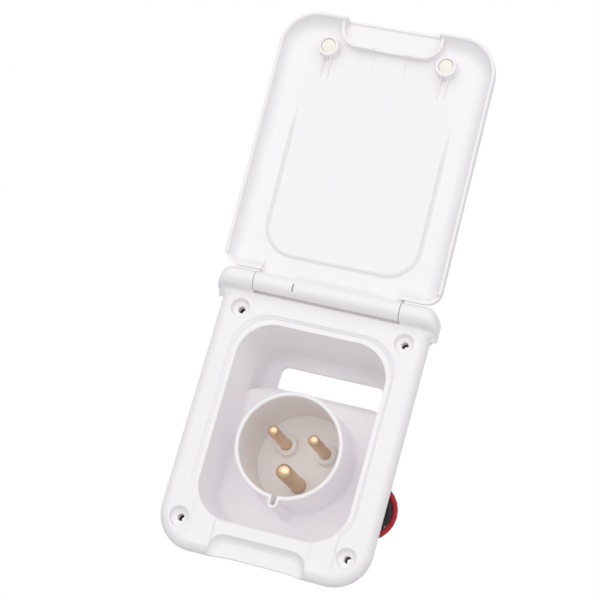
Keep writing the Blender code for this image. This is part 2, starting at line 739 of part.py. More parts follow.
def cut_hinge(plate):
    """The trough under the lid's knuckle and the holes for the hinge pins."""
    centre_y = FACE_Y - HINGE_RISE
    half = KNUCKLE_WIDTH / 2 + CHEEK_GAP
    ends = ((-half, centre_y, HINGE_Z), (half, centre_y, HINGE_Z))
    cut(plate, rod("trough", BARREL_RADIUS + BARREL_GAP, *ends, 28))
    for side, name in ((-1, "left"), (1, "right")):
        start = (side * (half - 1), centre_y, HINGE_Z)
        end = (side * (HINGE_PIN_OUT + CLEAR), centre_y, HINGE_Z)
        cut(plate, rod(f"cheek_hole_{name}", HINGE_PIN_RADIUS + CLEAR, start, end, 16))


def build_housing():
    """The one-piece moulding: face plate, bowl, tube, hinge cheeks and rear posts."""
    plate = plate_shell()
    add_bosses(plate)
    add_bowl(plate)
    add_cheeks(plate)
    cut_mouth(plate)
    cut_channels(plate)
    cut_scoop(plate)
    cut_screw_holes(plate)
    add_tube(plate)
    add_rear_posts(plate)
    half = WINDOW_WIDTH / 2
    outline = rounded(-half, half, WINDOW_LOW, WINDOW_HIGH, WINDOW_LOW_CORNER, WINDOW_CORNER, 4)
    ends = (WELL_DEPTH - 4, WELL_DEPTH + BOWL_WALL + 1)
    cut(plate, loft("window", [at_depth(outline, depth) for depth in ends]))
    cut_hinge(plate)
    return plate


def build_gasket():
    """The flat foam gasket between plate and wall, with the bowl's cut-out and four pierced holes."""
    front = PLATE_THICKNESS + CLEAR
    back = front + GASKET_THICKNESS
    outline = plate_outline(GASKET_INSET)
    gasket = loft("gasket", [at_depth(outline, front), at_depth(outline, back)], "black_foam")
    hole = opening_outline(-BOWL_WALL - CLEAR)
    cut(gasket, loft("gasket_opening", [at_depth(hole, front - 1), at_depth(hole, back + 1)]))
    bm = bmesh.new()
    start, end = FACE_Y + front - 1, FACE_Y + back + 1
    radius = GASKET_HOLE_RADIUS
    for centre in HOLES:
        turned_into(bm, [(0, start), (radius, start), (radius, end), (0, end)], centre, 16)
    cut(gasket, solid("gasket_holes", bm))
    return gasket


def pin_places():
    """Name, x, z and radius of each contact pin."""
    places = []
    for name, angle, radius in (
        ("line", 30, LIVE_PIN_RADIUS), ("neutral", 150, LIVE_PIN_RADIUS), ("earth", 270, EARTH_PIN_RADIUS)
    ):
        a = math.radians(angle)
        places.append((name, PIN_CIRCLE * math.cos(a), TUBE_Z + PIN_CIRCLE * math.sin(a), radius))
    return places


def build_carrier():
    """The insulating disc that closes the tube and holds the pins, with its rear collar, ears and key."""
    radius = TUBE_BORE - CLEAR
    front = FACE_Y + CARRIER_DEPTH
    collar = FACE_Y + COLLAR_DEPTH
    back = collar + COLLAR_THICKNESS
    profile = [(0, front), (radius - 0.3, front), (radius, front + 0.3), (radius, collar)]
    profile += [(COLLAR_RADIUS, collar), (COLLAR_RADIUS, back - 0.4), (COLLAR_RADIUS - 0.4, back), (0, back)]
    carrier = turned("pin_carrier", profile, (0, TUBE_Z), 32, "white_plastic")
    bm = bmesh.new()
    start, end = collar + 0.05, back - 0.05
    for centre in ear_places():
        turned_into(bm, [(0, start), (EAR_RADIUS, start), (EAR_RADIUS, end), (0, end)], centre, 20)
    join(carrier, solid("carrier_ears", bm))
    bm = bmesh.new()
    for name, x, z, pin in pin_places():
        if name != "earth":
            top = front - PIN_BOSS_HEIGHT
            rim = PIN_BOSS_RADIUS
            profile = [(0, top), (rim - 0.4, top), (rim, top + 0.4), (rim, front + 1), (0, front + 1)]
            turned_into(bm, profile, (x, z), 16)
    join(carrier, solid("pin_bosses", bm))
    half = KEY_SLOT / 2 - CLEAR
    low = (-half, front + 0.2, TUBE_Z - KEY_REACH + (KEY_WIDTH - KEY_SLOT) / 2 + CLEAR + 0.2)
    join(carrier, box("carrier_key", low, (half, collar + 0.1, TUBE_Z - radius + 1.5)))
    bm = bmesh.new()
    for name, x, z, pin in pin_places():
        top = front - PIN_BOSS_HEIGHT - 1
        turned_into(bm, [(0, top), (pin + CLEAR, top), (pin + CLEAR, back + 1), (0, back + 1)], (x, z), 16)
    for x, z in ear_places():
        hole = SCREW_RADIUS + CLEAR
        turned_into(bm, [(0, collar - 1), (hole, collar - 1), (hole, back + 1), (0, back + 1)], (x, z), 12)
    cut(carrier, solid("carrier_holes", bm))
    return carrier


def lead_exits():
    """Direction in which each terminal's wire hole points, in degrees from +X towards +Z."""
    return {"line": 0.0, "neutral": -45.0, "earth": 0.0}


def build_pins():
    """Round-nosed contact pins, each with its terminal barrel behind the carrier and a screw in it."""
    for name, x, z, radius in pin_places():
        tip = FACE_Y + PIN_TIP_DEPTH
        nose = radius * 0.75
        end = FACE_Y + LEAD_DEPTH + TERMINAL_REACH
        profile = [(0, tip)]
        for i in range(1, 5):
            a = math.pi / 2 * i / 4
            profile.append((radius * math.sin(a), tip + nose * (1 - math.cos(a))))
        seat = FACE_Y + TERMINAL_DEPTH
        profile += [(radius, seat), (TERMINAL_RADIUS, seat), (TERMINAL_RADIUS, end - 0.4)]
        profile += [(TERMINAL_RADIUS - 0.4, end), (0, end)]
        pin = turned(f"pin_{name}", profile, (x, z), 16, "brass")
        bore = SCREW_RADIUS + CLEAR
        mouth = FACE_Y + LEAD_DEPTH
        profile = [(0, mouth), (bore, mouth), (bore, end + 1), (0, end + 1)]
        cut(pin, turned(f"terminal_bore_{name}", profile, (x, z), 12))
        a = math.radians(lead_exits()[name])
        far = (x + 6 * math.cos(a), mouth, z + 6 * math.sin(a))
        near = (x - 1.8 * math.cos(a), mouth, z - 1.8 * math.sin(a))
        cut(pin, rod(f"wire_hole_{name}", LEAD_DIAMETER / 2 + CLEAR, near, far, 16))
        head = end + CLEAR
        foot = mouth + LEAD_DIAMETER / 2 + CLEAR
        screw(f"terminal_screw_{name}", (x, z), head, head - foot)


def screw(name, centre, seat, length):
    """A slotted pan-head screw, its head standing on seat and its shank pointing to the front."""
    top = seat + SCREW_HEAD_HEIGHT
    tip = seat - length
    profile = [(0, tip), (SCREW_RADIUS * 0.6, tip), (SCREW_RADIUS, tip + 0.6), (SCREW_RADIUS, seat)]
    profile += [(SCREW_HEAD_RADIUS, seat), (SCREW_HEAD_RADIUS, seat + SCREW_HEAD_HEIGHT * 0.5)]
    profile += [(SCREW_HEAD_RADIUS * 0.75, top), (0, top)]
    made = turned(name, profile, centre, 12, "steel")
    bm = bmesh.new()
    arm, half = SCREW_HEAD_RADIUS * 0.6, SCREW_SLOT / 2
    box_into(bm, (centre[0] - arm, top - 0.8, centre[1] - half), (centre[0] + arm, top + 1, centre[1] + half))
    cut(made, solid(f"{name}_slot", bm))
    return made


def build_rear_screws():
    """The screws that hold the pin carrier and the cord clamp."""
    seat = FACE_Y + COLLAR_DEPTH + COLLAR_THICKNESS + CLEAR
    for centre, name in zip(ear_places(), ("upper", "lower")):
        screw(f"carrier_screw_{name}", centre, seat, COLLAR_THICKNESS + CLEAR + SCREW_LENGTH - 1.5)
    seat = FACE_Y + CLAMP_DEPTH + CLAMP_THICKNESS + CLEAR
    for centre, name in zip(clamp_places(), ("upper", "lower")):
        screw(f"clamp_screw_{name}", centre, seat, CLAMP_THICKNESS + CLEAR + SCREW_LENGTH - 1.5)


def build_clamp():
    """The bar that clamps the leads on their saddle, with rounded ends and two holes."""
    top, low = clamp_places()
    half = CLAMP_WIDTH / 2
    outline = rounded(CLAMP_X - half, CLAMP_X + half, low[1] - 3.2, top[1] + 3.2, 2.4, 2.4, 4)
    start = CLAMP_DEPTH
    rings = [at_depth(outline, start), at_depth(outline, start + CLAMP_THICKNESS - 0.5)]
    shrunk = rounded(CLAMP_X - half + 0.5, CLAMP_X + half - 0.5, low[1] - 2.7, top[1] + 2.7, 1.9, 1.9, 4)
    rings.append(at_depth(shrunk, start + CLAMP_THICKNESS))
    bar = loft("cord_clamp", rings, "white_plastic")
    bm = bmesh.new()
    for centre in clamp_places():
        radius = SCREW_RADIUS + CLEAR
        first, last = FACE_Y + start - 1, FACE_Y + start + CLAMP_THICKNESS + 1
        turned_into(bm, [(0, first), (radius, first), (radius, last), (0, last)], centre, 12)
    cut(bar, solid("clamp_holes", bm))
    return bar


def smooth_route(points, count):
    """A smooth curve through points, as count points evenly spaced along it."""
    fine = []
    ends = [points[0] * 2 - points[1]] + points + [points[-1] * 2 - points[-2]]
    for a, b, c, d in zip(ends, ends[1:], ends[2:], ends[3:]):
        for i in range(12):
            t = i / 12
            bend = (2 * a - 5 * b + 4 * c - d) * t**2 + (3 * b - a - 3 * c + d) * t**3
            fine.append(0.5 * ((2 * b) + (c - a) * t + bend))
    fine.append(points[-1])
    lengths = [0.0]
    for a, b in zip(fine, fine[1:]):
        lengths.append(lengths[-1] + (b - a).length)
    even = []
    j = 0
    for i in range(count):
        goal = lengths[-1] * i / (count - 1)
        while j < len(lengths) - 2 and lengths[j + 1] < goal:
            j += 1
        t = (goal - lengths[j]) / (lengths[j + 1] - lengths[j])
        even.append(fine[j].lerp(fine[j + 1], t))
    return even


def lead_route(name, x, z, order):
    """Terminal, cord clamp, the loop to the right, and the tail that runs back behind the pedestal."""
    y = FACE_Y + LEAD_DEPTH
    a = math.radians(lead_exits()[name])
    aim = Vector((math.cos(a), 0, math.sin(a)))
    start = Vector((x, y, z))
    radius = LOOP_RADIUS - order * LEAD_PITCH
    points = [start + aim * 2.0, start + aim * 5.0]
    if name == "neutral":
        points.append(Vector((x + 8.2, y, LOOP_Z + radius + 1.0)))
    points.append(Vector((CLAMP_X - 9.0, y, LOOP_Z + radius)))
    points.append(Vector((CLAMP_X, y, LOOP_Z + radius)))
    for i in range(1, 8):
        angle = math.pi / 2 - math.pi * i / 8
        swell = math.sin(math.pi * i / 8) ** 2
        reach = radius + swell * order
        forward = 2.1 * swell if order == 1 else 0.0
        across, up = reach * math.cos(angle), reach * math.sin(angle)
        points.append(Vector((LOOP_X + across, y - forward, LOOP_Z + up)))
    for t in (0.0, 0.35, 0.7, 1.0):
        across = LOOP_X - 1 + (TAIL_X - LOOP_X + 1) * t
        points.append(Vector((across, y, LOOP_Z - radius - TAIL_DROP * t * t)))
    return smooth_route(points, 38)


def build_leads():
    """Three insulated leads, red outermost, from the terminals through the clamp to their free ends."""
    colours = {"line": "red", "neutral": "black", "earth": "green"}
    for order, (name, x, z, _) in enumerate(pin_places()):
        route = lead_route(name, x, z, order)
        data = bpy.data.curves.new(f"lead_{colours[name]}", "CURVE")
        data.dimensions = "3D"
        data.bevel_depth = LEAD_DIAMETER / 2 * MM
        data.bevel_resolution = 2
        data.use_fill_caps = True
        spline = data.splines.new("POLY")
        spline.points.add(len(route) - 1)
        for point, co in zip(spline.points, route):
            point.co = (*(co * MM), 1.0)
        place(f"lead_{colours[name]}", data, f"{colours[name]}_sheath")


def tie_ring(centre_z, grow, x):
    """The cable tie's section round the three tails at this x, grown by its band's thickness."""
    half_z = LEAD_PITCH + LEAD_DIAMETER / 2 + CLEAR + 0.1 + grow
    half_y = LEAD_DIAMETER / 2 + CLEAR + 0.1 + grow
    y = FACE_Y + LEAD_DEPTH
    outline = rounded(-half_y, half_y, centre_z - half_z, centre_z + half_z, TIE_CORNER, TIE_CORNER, 3)
    return [(x, y + v, z) for v, z in outline]


def build_tie():
    """The cable tie that keeps the three tails together."""
    share = (LOOP_X - 1 - TIE_X) / (LOOP_X - 1 - TAIL_X)
    centre_z = LOOP_Z - LOOP_RADIUS + LEAD_PITCH - TAIL_DROP * share * share
    ends = (TIE_X - TIE_WIDTH / 2, TIE_X + TIE_WIDTH / 2)
    tie = loft("lead_tie", [tie_ring(centre_z, TIE_BAND, x) for x in ends], "white_tie")
    top = FACE_Y + LEAD_DEPTH + LEAD_DIAMETER / 2 + CLEAR + 0.1
    low = (TIE_X - 1.9, top + 0.4, centre_z - 2.2)
    join(tie, box("tie_head", low, (TIE_X + 1.9, top + 3.2, centre_z + 2.2)))
    cut(tie, loft("tie_inside", [tie_ring(centre_z, 0.0, x) for x in (TIE_X - 3, TIE_X + 3)]))
    return tie


def lid_outline(inset):
    """The lid's edge as (x, -u) with u measured from the hinge axis, moved in by inset."""
    half = LID_WIDTH / 2 - inset
    end = LID_LENGTH - inset
    corner = LID_CORNER - inset
    root = LID_ROOT + inset
    r = max(LID_ROOT_CORNER - inset, 0.8)
    points = arc(-half + corner, -end + corner, corner, 180, 270, 8)
    points += arc(half - corner, -end + corner, corner, 270, 360, 8)
    points += arc(half - r, -root - r, r, 0, 90, 4)
    points += arc(-half + r, -root - r, r, 90, 180, 4)
    return points


def lid_ring(outline, height):
    """A ring of the lid in its closed attitude, height above the hinge axis, with the axis as origin."""
    return [(x, -height, z) for x, z in outline]


def lid_shell():
    """The dished lid: rounded outer edge, thin rim, and an inside that curves up to it."""
    rings = []
    for inset, drop in quarter_round(LID_EDGE, 4):
        rings.append(lid_ring(lid_outline(inset), BARREL_RADIUS - drop))
    rim = -LID_RIM_DROP
    rings.append(lid_ring(lid_outline(0.05), rim + 0.35))
    rings.append(lid_ring(lid_outline(0.4), rim))
    rings.append(lid_ring(lid_outline(LID_WALL - 0.35), rim))
    rings.append(lid_ring(lid_outline(LID_WALL), rim + 0.35))
    span = LID_FLOOR - rim
    fillet = min(LID_FILLET, span - 0.5)
    for i in range(6):
        a = math.pi / 2 * i / 5
        inset = LID_WALL + 0.1 + fillet * 1.15 * (1 - math.cos(a))
        rings.append(lid_ring(lid_outline(inset), LID_FLOOR - fillet + fillet * math.sin(a)))
    return loft("lid", rings, "white_plastic")


def finger_curve(inset):
    """The arched wall round the finger recess, as (x, -u) points from its left end to its right."""
    half = FINGER_WIDTH / 2 - inset
    end = LID_LENGTH - LID_WALL - 0.2
    top = LID_LENGTH - FINGER_SPAN + inset
    corner = FINGER_CORNER - inset
    points = [(-half, -end)]
    points += arc(-half + corner, -top - corner, corner, 180, 90, 6)
    points += arc(half - corner, -top - corner, corner, 90, 0, 6)
    points.append((half, -end))
    return points


def add_lid_walls(lid):
    """The finger recess with its arched wall, the U-shaped rib, the magnet bosses and their gussets."""
    base = LID_FLOOR + 0.6
    outline = finger_curve(-WALL_THICKNESS / 2) + finger_curve(WALL_THICKNESS / 2)[::-1]
    rings = [lid_ring(outline, base), lid_ring(outline, -HINGE_RISE + CLEAR + 0.1)]
    join(lid, loft("finger_wall", rings))
    bm = bmesh.new()
    top = MAGNET_TOP
    profile = [(0, -base), (MAGNET_BOSS + 0.5, -base), (MAGNET_BOSS, -base + 1.6), (MAGNET_BOSS, -top - 0.3)]
    profile += [(MAGNET_BOSS - 0.3, -top), (0, -top)]
    for side in (-1, 1):
        turned_into(bm, profile, (side * MAGNET_X, -MAGNET_U), 20)
    join(lid, solid("magnet_bosses", bm))
    bm = bmesh.new()
    for side in (-1, 1):
        for offset in (-1, 1):
            x = side * MAGNET_X + offset * GUSSET_SPAN / 2
            add_gusset(bm, x, -(MAGNET_U - MAGNET_BOSS + 0.8), -(MAGNET_U - GUSSET_REACH))
    join(lid, solid("magnet_gussets", bm))
    latch_low = -(LID_LENGTH - FINGER_SPAN)
    low = (LATCH_X - LATCH_WIDTH / 2, HINGE_RISE - CLEAR - 1.1, latch_low - WALL_THICKNESS)
    cut(lid, box("latch_notch", low, (LATCH_X + LATCH_WIDTH / 2, HINGE_RISE + 1, latch_low + WALL_THICKNESS)))
    bm = bmesh.new()
    for side in (-1, 1):
        x = LATCH_X + side * (LATCH_WIDTH + GUSSET_THICKNESS) / 2
        add_gusset(bm, x, latch_low + 0.3, latch_low + LATCH_REACH)
    join(lid, solid("latch_gussets", bm))


def add_gusset(bm, x, near, far):
    """A thin gusset on the lid's floor, highest at near and running out at far."""
    half = GUSSET_THICKNESS / 2
    base = -LID_FLOOR - 0.6
    points = [(base, near), (GUSSET_HEIGHT - LID_FLOOR, near), (0.25 - LID_FLOOR, far), (base, far)]
    loft_into(bm, [[(x - half, y, z) for y, z in points], [(x + half, y, z) for y, z in points]])


def rib_path():
    """The U-shaped rib's centre line as (x, -u, height), fading out along both arms."""
    half = RIB_WIDTH / 2
    turn = RIB_LOW + RIB_CORNER
    arm = [(half, -(RIB_END + (turn - RIB_END) * i / 7)) for i in range(7)]
    path = [(-x, z) for x, z in arm] + arc(-half + RIB_CORNER, -turn, RIB_CORNER, 180, 90, 8)
    path += arc(half - RIB_CORNER, -turn, RIB_CORNER, 90, 0, 8) + arm[::-1]
    return [(x, z, RIB_HEIGHT * (1 - ease((-z - RIB_FULL) / (RIB_END - RIB_FULL)))) for x, z in path]


def add_rib(lid):
    """Sweeps the rib's section, a narrow crest on a wide filleted base, along its path."""
    path = rib_path()
    rings = []
    for i, (x, z, height) in enumerate(path):
        before, after = path[max(i - 1, 0)], path[min(i + 1, len(path) - 1)]
        along = Vector((after[0] - before[0], after[1] - before[1])).normalized()
        across = Vector((along.y, -along.x))
        ring = []
        tall = max(height, 0.12)
        base = RIB_BASE * (0.35 + 0.65 * height / RIB_HEIGHT)
        for share, up in RIB_SECTION:
            offset = share * base
            y = -LID_FLOOR + tall * up if up > 0 else -LID_FLOOR - 0.8
            ring.append((x + across.x * offset, y, z + across.y * offset))
        rings.append(ring)
    join(lid, loft("lid_rib", rings))


def knuckle_section(fillet):
    """The fillet between the lid's floor and its knuckle, as (y, z) points about the hinge axis."""
    reach = math.sqrt((BARREL_RADIUS + fillet) ** 2 - (fillet - LID_FLOOR) ** 2)
    lean = math.degrees(math.atan2(fillet - LID_FLOOR, reach))
    curve = arc(reach, LID_FLOOR - fillet, fillet, 180 - lean, 90, 6)
    points = [(0.3, LID_FLOOR + 0.4), (0.3, -1.0)] + curve + [(reach, LID_FLOOR + 0.4)]
    return [(-h, -u) for u, h in points]


def cut_lid_edges(lid):
    """Opens the lid's rim at the hinge, and lowers its free edge to a thin lip at the finger recess."""
    half = KNUCKLE_WIDTH / 2 - 1.4
    low = (-half, -LID_FLOOR + 0.06, -LID_ROOT - 8.6)
    cut(lid, box("rim_gap", low, (half, LID_RIM_DROP + 1, -LID_ROOT + 1)))
    half = SCOOP_WIDTH / 2 - 0.2
    edge = -LID_LENGTH + FINGER_SET_BACK
    low = (-half, -BARREL_RADIUS - 1, -LID_LENGTH - 1)
    cut(lid, box("finger_notch", low, (half, LID_RIM_DROP + 1, edge)))
    low = (-half, -LID_FLOOR - 0.4, -LID_LENGTH - 1)
    cut(lid, box("finger_skirt", low, (half, LID_RIM_DROP + 1, edge + FINGER_SKIRT)))


def add_knuckle(lid):
    """The hinge barrel between the cheeks, its web to the lid and the fillets that blend it into the floor."""
    half = KNUCKLE_WIDTH / 2
    join(lid, rod("knuckle", BARREL_RADIUS - 0.02, (-half, 0, 0), (half, 0, 0), 32))
    low = (-half + 0.1, -BARREL_RADIUS + 0.06, -LID_ROOT - 4.0)
    join(lid, box("knuckle_web", low, (half - 0.1, -LID_FLOOR - 0.06, -0.5)))
    web = knuckle_section(KNUCKLE_FILLET)
    reach = SLIT_X + SLIT_WIDTH
    join(lid, loft("knuckle_fillet", [[(x, y, z) for y, z in web] for x in (-reach, reach)]))
    web = knuckle_section(KNUCKLE_FILLET * 0.3)
    join(lid, loft("knuckle_root", [[(x, y, z) for y, z in web] for x in (-half + 0.2, half - 0.2)]))
    bm = bmesh.new()
    top = HINGE_RISE - CLEAR - 0.05
    for side in (-1, 1):
        xs = sorted((side * (half - 1.6), side * (PLATE_WIDTH / 2 - 0.6)))
        box_into(bm, (xs[0], top, -LID_ROOT - 2.6), (xs[1], LID_RIM_DROP + 1, -LID_ROOT + 1))
    cut(lid, solid("root_relief", bm))


def cut_lid_holes(lid):
    """The bores for the hinge pins, the slit beside the left barrel and the magnets' pockets."""
    radius = HINGE_PIN_RADIUS + CLEAR
    for side, name in ((-1, "left"), (1, "right")):
        start = (side * (HINGE_PIN_IN - CLEAR), 0, 0)
        cut(lid, rod(f"pin_bore_{name}", radius, start, (side * (KNUCKLE_WIDTH / 2 + 1), 0, 0), 16))
    low = (-SLIT_X - SLIT_WIDTH / 2, 0.5, SLIT_LOW)
    cut(lid, box("knuckle_slit", low, (-SLIT_X + SLIT_WIDTH / 2, BARREL_RADIUS + 1, SLIT_HIGH)))
    bm = bmesh.new()
    floor = MAGNET_TOP + MAGNET_RECESS + MAGNET_THICKNESS + CLEAR
    radius = MAGNET_RADIUS + CLEAR
    profile = [(0, -floor), (radius, -floor), (radius, -MAGNET_TOP + 1), (0, -MAGNET_TOP + 1)]
    for side in (-1, 1):
        turned_into(bm, profile, (side * MAGNET_X, -MAGNET_U), 20)
    cut(lid, solid("magnet_pockets", bm))


def build_lid():
    """The one-piece lid, drawn closed about its hinge axis and swung open."""
    lid = lid_shell()
    add_lid_walls(lid)
    add_rib(lid)
    cut_lid_edges(lid)
    add_knuckle(lid)
    cut_lid_holes(lid)
    for tool in lid.modifiers:
        tool.object.parent = lid
    lid.location = HINGE
    lid.rotation_euler = (-math.radians(LID_OPEN), 0, 0)
    return lid


def build_magnets(lid):
    """Two disc magnets in the lid's bosses."""
    top = MAGNET_TOP + MAGNET_RECESS
    floor = top + MAGNET_THICKNESS
    for side, name in ((-1, "left"), (1, "right")):
        profile = [(0, -floor), (MAGNET_RADIUS, -floor), (MAGNET_RADIUS, -top), (0, -top)]
        magnet = turned(f"magnet_{name}", profile, (side * MAGNET_X, -MAGNET_U), 20, "cream_magnet")
        magnet.parent = lid


def build_hinge_pins():
    """Two steel pins, pressed into the cheeks, on which the lid turns."""
    for side, name in ((-1, "left"), (1, "right")):
        start = Vector((side * HINGE_PIN_IN, 0, 0))
        end = Vector((side * HINGE_PIN_OUT, 0, 0))
        rod(f"hinge_pin_{name}", HINGE_PIN_RADIUS, start, end, 16, "steel", HINGE)


def build_catches():
    """Two steel plates behind the bottom bar that the magnets pull on."""
    front = FACE_Y + PLATE_WALL + CLEAR
    top = OPENING_LOW - BOWL_WALL - CLEAR
    for side, name in ((-1, "left"), (1, "right")):
        x = side * CATCH_X
        low = (x - CATCH_WIDTH / 2, front, top - CATCH_HEIGHT)
        box(f"catch_plate_{name}", low, (x + CATCH_WIDTH / 2, front + CATCH_THICKNESS, top), "steel")


def main():
    """Builds every piece in an empty scene."""
    for old in list(bpy.data.objects):
        bpy.data.objects.remove(old)
    build_housing()
    build_gasket()
    build_carrier()
    build_pins()
    build_rear_screws()
    build_clamp()
    build_leads()
    build_tie()
    lid = build_lid()
    build_magnets(lid)
    build_hinge_pins()
    build_catches()


if __name__ == "__main__":
    main()
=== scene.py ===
"""Caravan power inlet: finer mouldings, finishes, leads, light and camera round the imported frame.

Sizes in the classes are millimetres and become metres when a mesh is closed. X runs to the right, Y into
the wall and Z up. The origin is the centre of the four screw holes on the wall plane. A depth is measured
from the front of the face plate into the wall, so a negative depth stands out of the face.
"""

from __future__ import annotations

import json
import logging
import math
from dataclasses import dataclass, field
from enum import Enum
from typing import Iterable, Sequence

import bmesh
import bpy
from mathutils import Euler, Matrix, Vector

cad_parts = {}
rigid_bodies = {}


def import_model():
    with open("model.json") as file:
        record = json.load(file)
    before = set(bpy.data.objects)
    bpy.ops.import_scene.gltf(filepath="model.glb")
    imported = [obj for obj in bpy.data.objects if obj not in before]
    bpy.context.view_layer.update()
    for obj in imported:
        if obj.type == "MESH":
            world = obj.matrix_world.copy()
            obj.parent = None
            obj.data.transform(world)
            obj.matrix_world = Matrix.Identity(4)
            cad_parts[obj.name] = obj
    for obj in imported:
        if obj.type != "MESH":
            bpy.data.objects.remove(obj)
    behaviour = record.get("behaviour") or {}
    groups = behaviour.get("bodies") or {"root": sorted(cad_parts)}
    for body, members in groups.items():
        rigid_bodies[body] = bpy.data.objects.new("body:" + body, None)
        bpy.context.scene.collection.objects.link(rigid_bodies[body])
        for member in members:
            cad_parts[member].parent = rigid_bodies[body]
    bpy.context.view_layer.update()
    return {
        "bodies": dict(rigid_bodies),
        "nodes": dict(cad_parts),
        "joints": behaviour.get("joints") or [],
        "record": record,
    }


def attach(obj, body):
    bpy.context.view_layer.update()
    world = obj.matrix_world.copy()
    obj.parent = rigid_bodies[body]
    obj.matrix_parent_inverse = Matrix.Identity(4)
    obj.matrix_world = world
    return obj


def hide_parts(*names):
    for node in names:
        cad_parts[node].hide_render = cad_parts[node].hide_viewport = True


Point2 = tuple[float, float]
Point3 = tuple[float, float, float]
Outline = list[Point2]
Ring = list[Point3]
Piece = bpy.types.Object
Material = bpy.types.Material
Node = bpy.types.Node
NodeTree = bpy.types.NodeTree
Socket = bpy.types.NodeSocket
BMesh = bmesh.types.BMesh

MM = 0.001
WHITE_BOUNCES = 12
MIX_FIRST_COLOUR = 6
MIX_SECOND_COLOUR = 7
MIX_RESULT_COLOUR = 2
TONE_CONTRAST = 1.8
PLASTIC_IOR = 1.53
WELD = 0.004
SMALL_EDGE = 0.12
SMALL_EDGE_ANGLE = 50.0
LOG = logging.getLogger("power_inlet")


class Body(Enum):
    """The rigid bodies of the frame."""

    HOUSING = "housing"
    LID = "lid"


class Slot(Enum):
    """The record's material slots."""

    WHITE = "white_plastic"
    CREAM = "cream_magnet"
    BRASS = "brass"
    STEEL = "steel"
    FOAM = "black_foam"
    RED = "red_sheath"
    BLACK = "black_sheath"
    GREEN = "green_sheath"
    TIE = "white_tie"


@dataclass(frozen=True)
class Datum:
    """Sizes that several pieces share."""

    clear: float = 0.3
    face_y: float = -9.8
    plate_thickness: float = 8.0
    hole_pitch_x: float = 75.5
    hole_pitch_z: float = 95.5
    tube_z: float = -6.8
    tube_bore: float = 22.0
    hinge_z: float = 60.6
    hinge_rise: float = 2.7
    barrel_radius: float = 4.3
    knuckle_width: float = 66.5
    cheek_width: float = 100.4
    lid_open: float = 174.0
    channel_depth: float = 0.9
    screw_radius: float = 1.2
    carrier_depth: float = 38.4
    collar_depth: float = 44.4
    collar_thickness: float = 2.6
    lead_depth: float = 50.0
    lead_diameter: float = 2.8
    lead_pitch: float = 3.2
    clamp_x: float = 29.6
    pin_circle: float = 10.7
    hinge_pin_radius: float = 1.25
    fit: float = 0.12

    @property
    def face_back(self) -> float:
        """Where the face plate ends, on the wall's side."""
        return self.face_y + self.plate_thickness

    @property
    def hinge(self) -> Vector:
        """The hinge axis' middle, in metres."""
        return Vector((0.0, self.face_y - self.hinge_rise, self.hinge_z)) * MM

    @property
    def holes(self) -> list[Point2]:
        """Centres of the four screw holes."""
        x, z = self.hole_pitch_x / 2, self.hole_pitch_z / 2
        return [(sx * x, sz * z) for sx in (-1, 1) for sz in (-1, 1)]

    def at_depth(self, outline: Outline, depth: float) -> Ring:
        """Lifts an outline of (x, z) to a depth behind the face."""
        return [(x, self.face_y + depth, z) for x, z in outline]


DATUM = Datum()


def arc(centre: Point2, radius: float, start: float, end: float, steps: int) -> Outline:
    """Points of a circular arc, both ends included.

    Args:
        centre: The arc's centre.
        radius: Its radius.
        start: First angle in degrees.
        end: Last angle in degrees.
        steps: How many chords it has.

    Returns:
        The points in order.
    """
    angles = [math.radians(start + (end - start) * i / steps) for i in range(steps + 1)]
    return [(centre[0] + radius * math.cos(a), centre[1] + radius * math.sin(a)) for a in angles]


def rounded(
    left: float, right: float, low: float, high: float, r_low: float, r_high: float, steps: int
) -> Outline:
    """A rectangle with round corners, anticlockwise from its lower left corner.

    Args:
        left: Least x.
        right: Greatest x.
        low: Least z.
        high: Greatest z.
        r_low: Radius of the two low corners.
        r_high: Radius of the two high corners.
        steps: Chords in each corner.

    Returns:
        The closed outline's points.
    """
    return (
        arc((left + r_low, low + r_low), r_low, 180, 270, steps)
        + arc((right - r_low, low + r_low), r_low, 270, 360, steps)
        + arc((right - r_high, high - r_high), r_high, 0, 90, steps)
        + arc((left + r_high, high - r_high), r_high, 90, 180, steps)
    )


def ease(t: float) -> float:
    """A smooth step from 0 to 1."""
    t = min(max(t, 0.0), 1.0)
    return t * t * (3 - 2 * t)


def quarter_round(radius: float, steps: int) -> list[Point2]:
    """(inset, drop) pairs along an edge rounding, from the face down to the side.

    Args:
        radius: The rounding's radius.
        steps: How many chords it has.

    Returns:
        The pairs, face end first.
    """
    angles = [math.pi / 2 * i / steps for i in range(steps + 1)]
    return [(radius * (1 - math.sin(a)), radius * (1 - math.cos(a))) for a in angles]


def linked(name: str, data: bpy.types.ID) -> Piece:
    """Makes an object of its data and links it to the scene."""
    made = bpy.data.objects.new(name, data)
    bpy.context.scene.collection.objects.link(made)
    return made


def closed_mesh(name: str, bm: BMesh) -> Piece:
    """Makes an object of a closed bmesh drawn in millimetres, with its faces pointing out.

    Args:
        name: The object's name.
        bm: The bmesh, which is freed.

    Returns:
        The linked object.
    """
    bmesh.ops.recalc_face_normals(bm, faces=bm.faces)
    bmesh.ops.scale(bm, vec=(MM, MM, MM), verts=bm.verts)
    mesh = bpy.data.meshes.new(name)
    bm.to_mesh(mesh)
    bm.free()
    return linked(name, mesh)


def loft_into(bm: BMesh, rings: Sequence[Ring]) -> None:
    """Skins rings of equal length, in order, and caps both ends.

    Args:
        bm: Where the faces go.
        rings: The rings' points.
    """
    rows = [[bm.verts.new(point) for point in ring] for ring in rings]
    count = len(rows[0])
    for low, high in zip(rows, rows[1:]):
        for i in range(count):
            j = (i + 1) % count
            bm.faces.new((low[i], low[j], high[j], high[i]))
    bm.faces.new(rows[0])
    bm.faces.new(rows[-1])


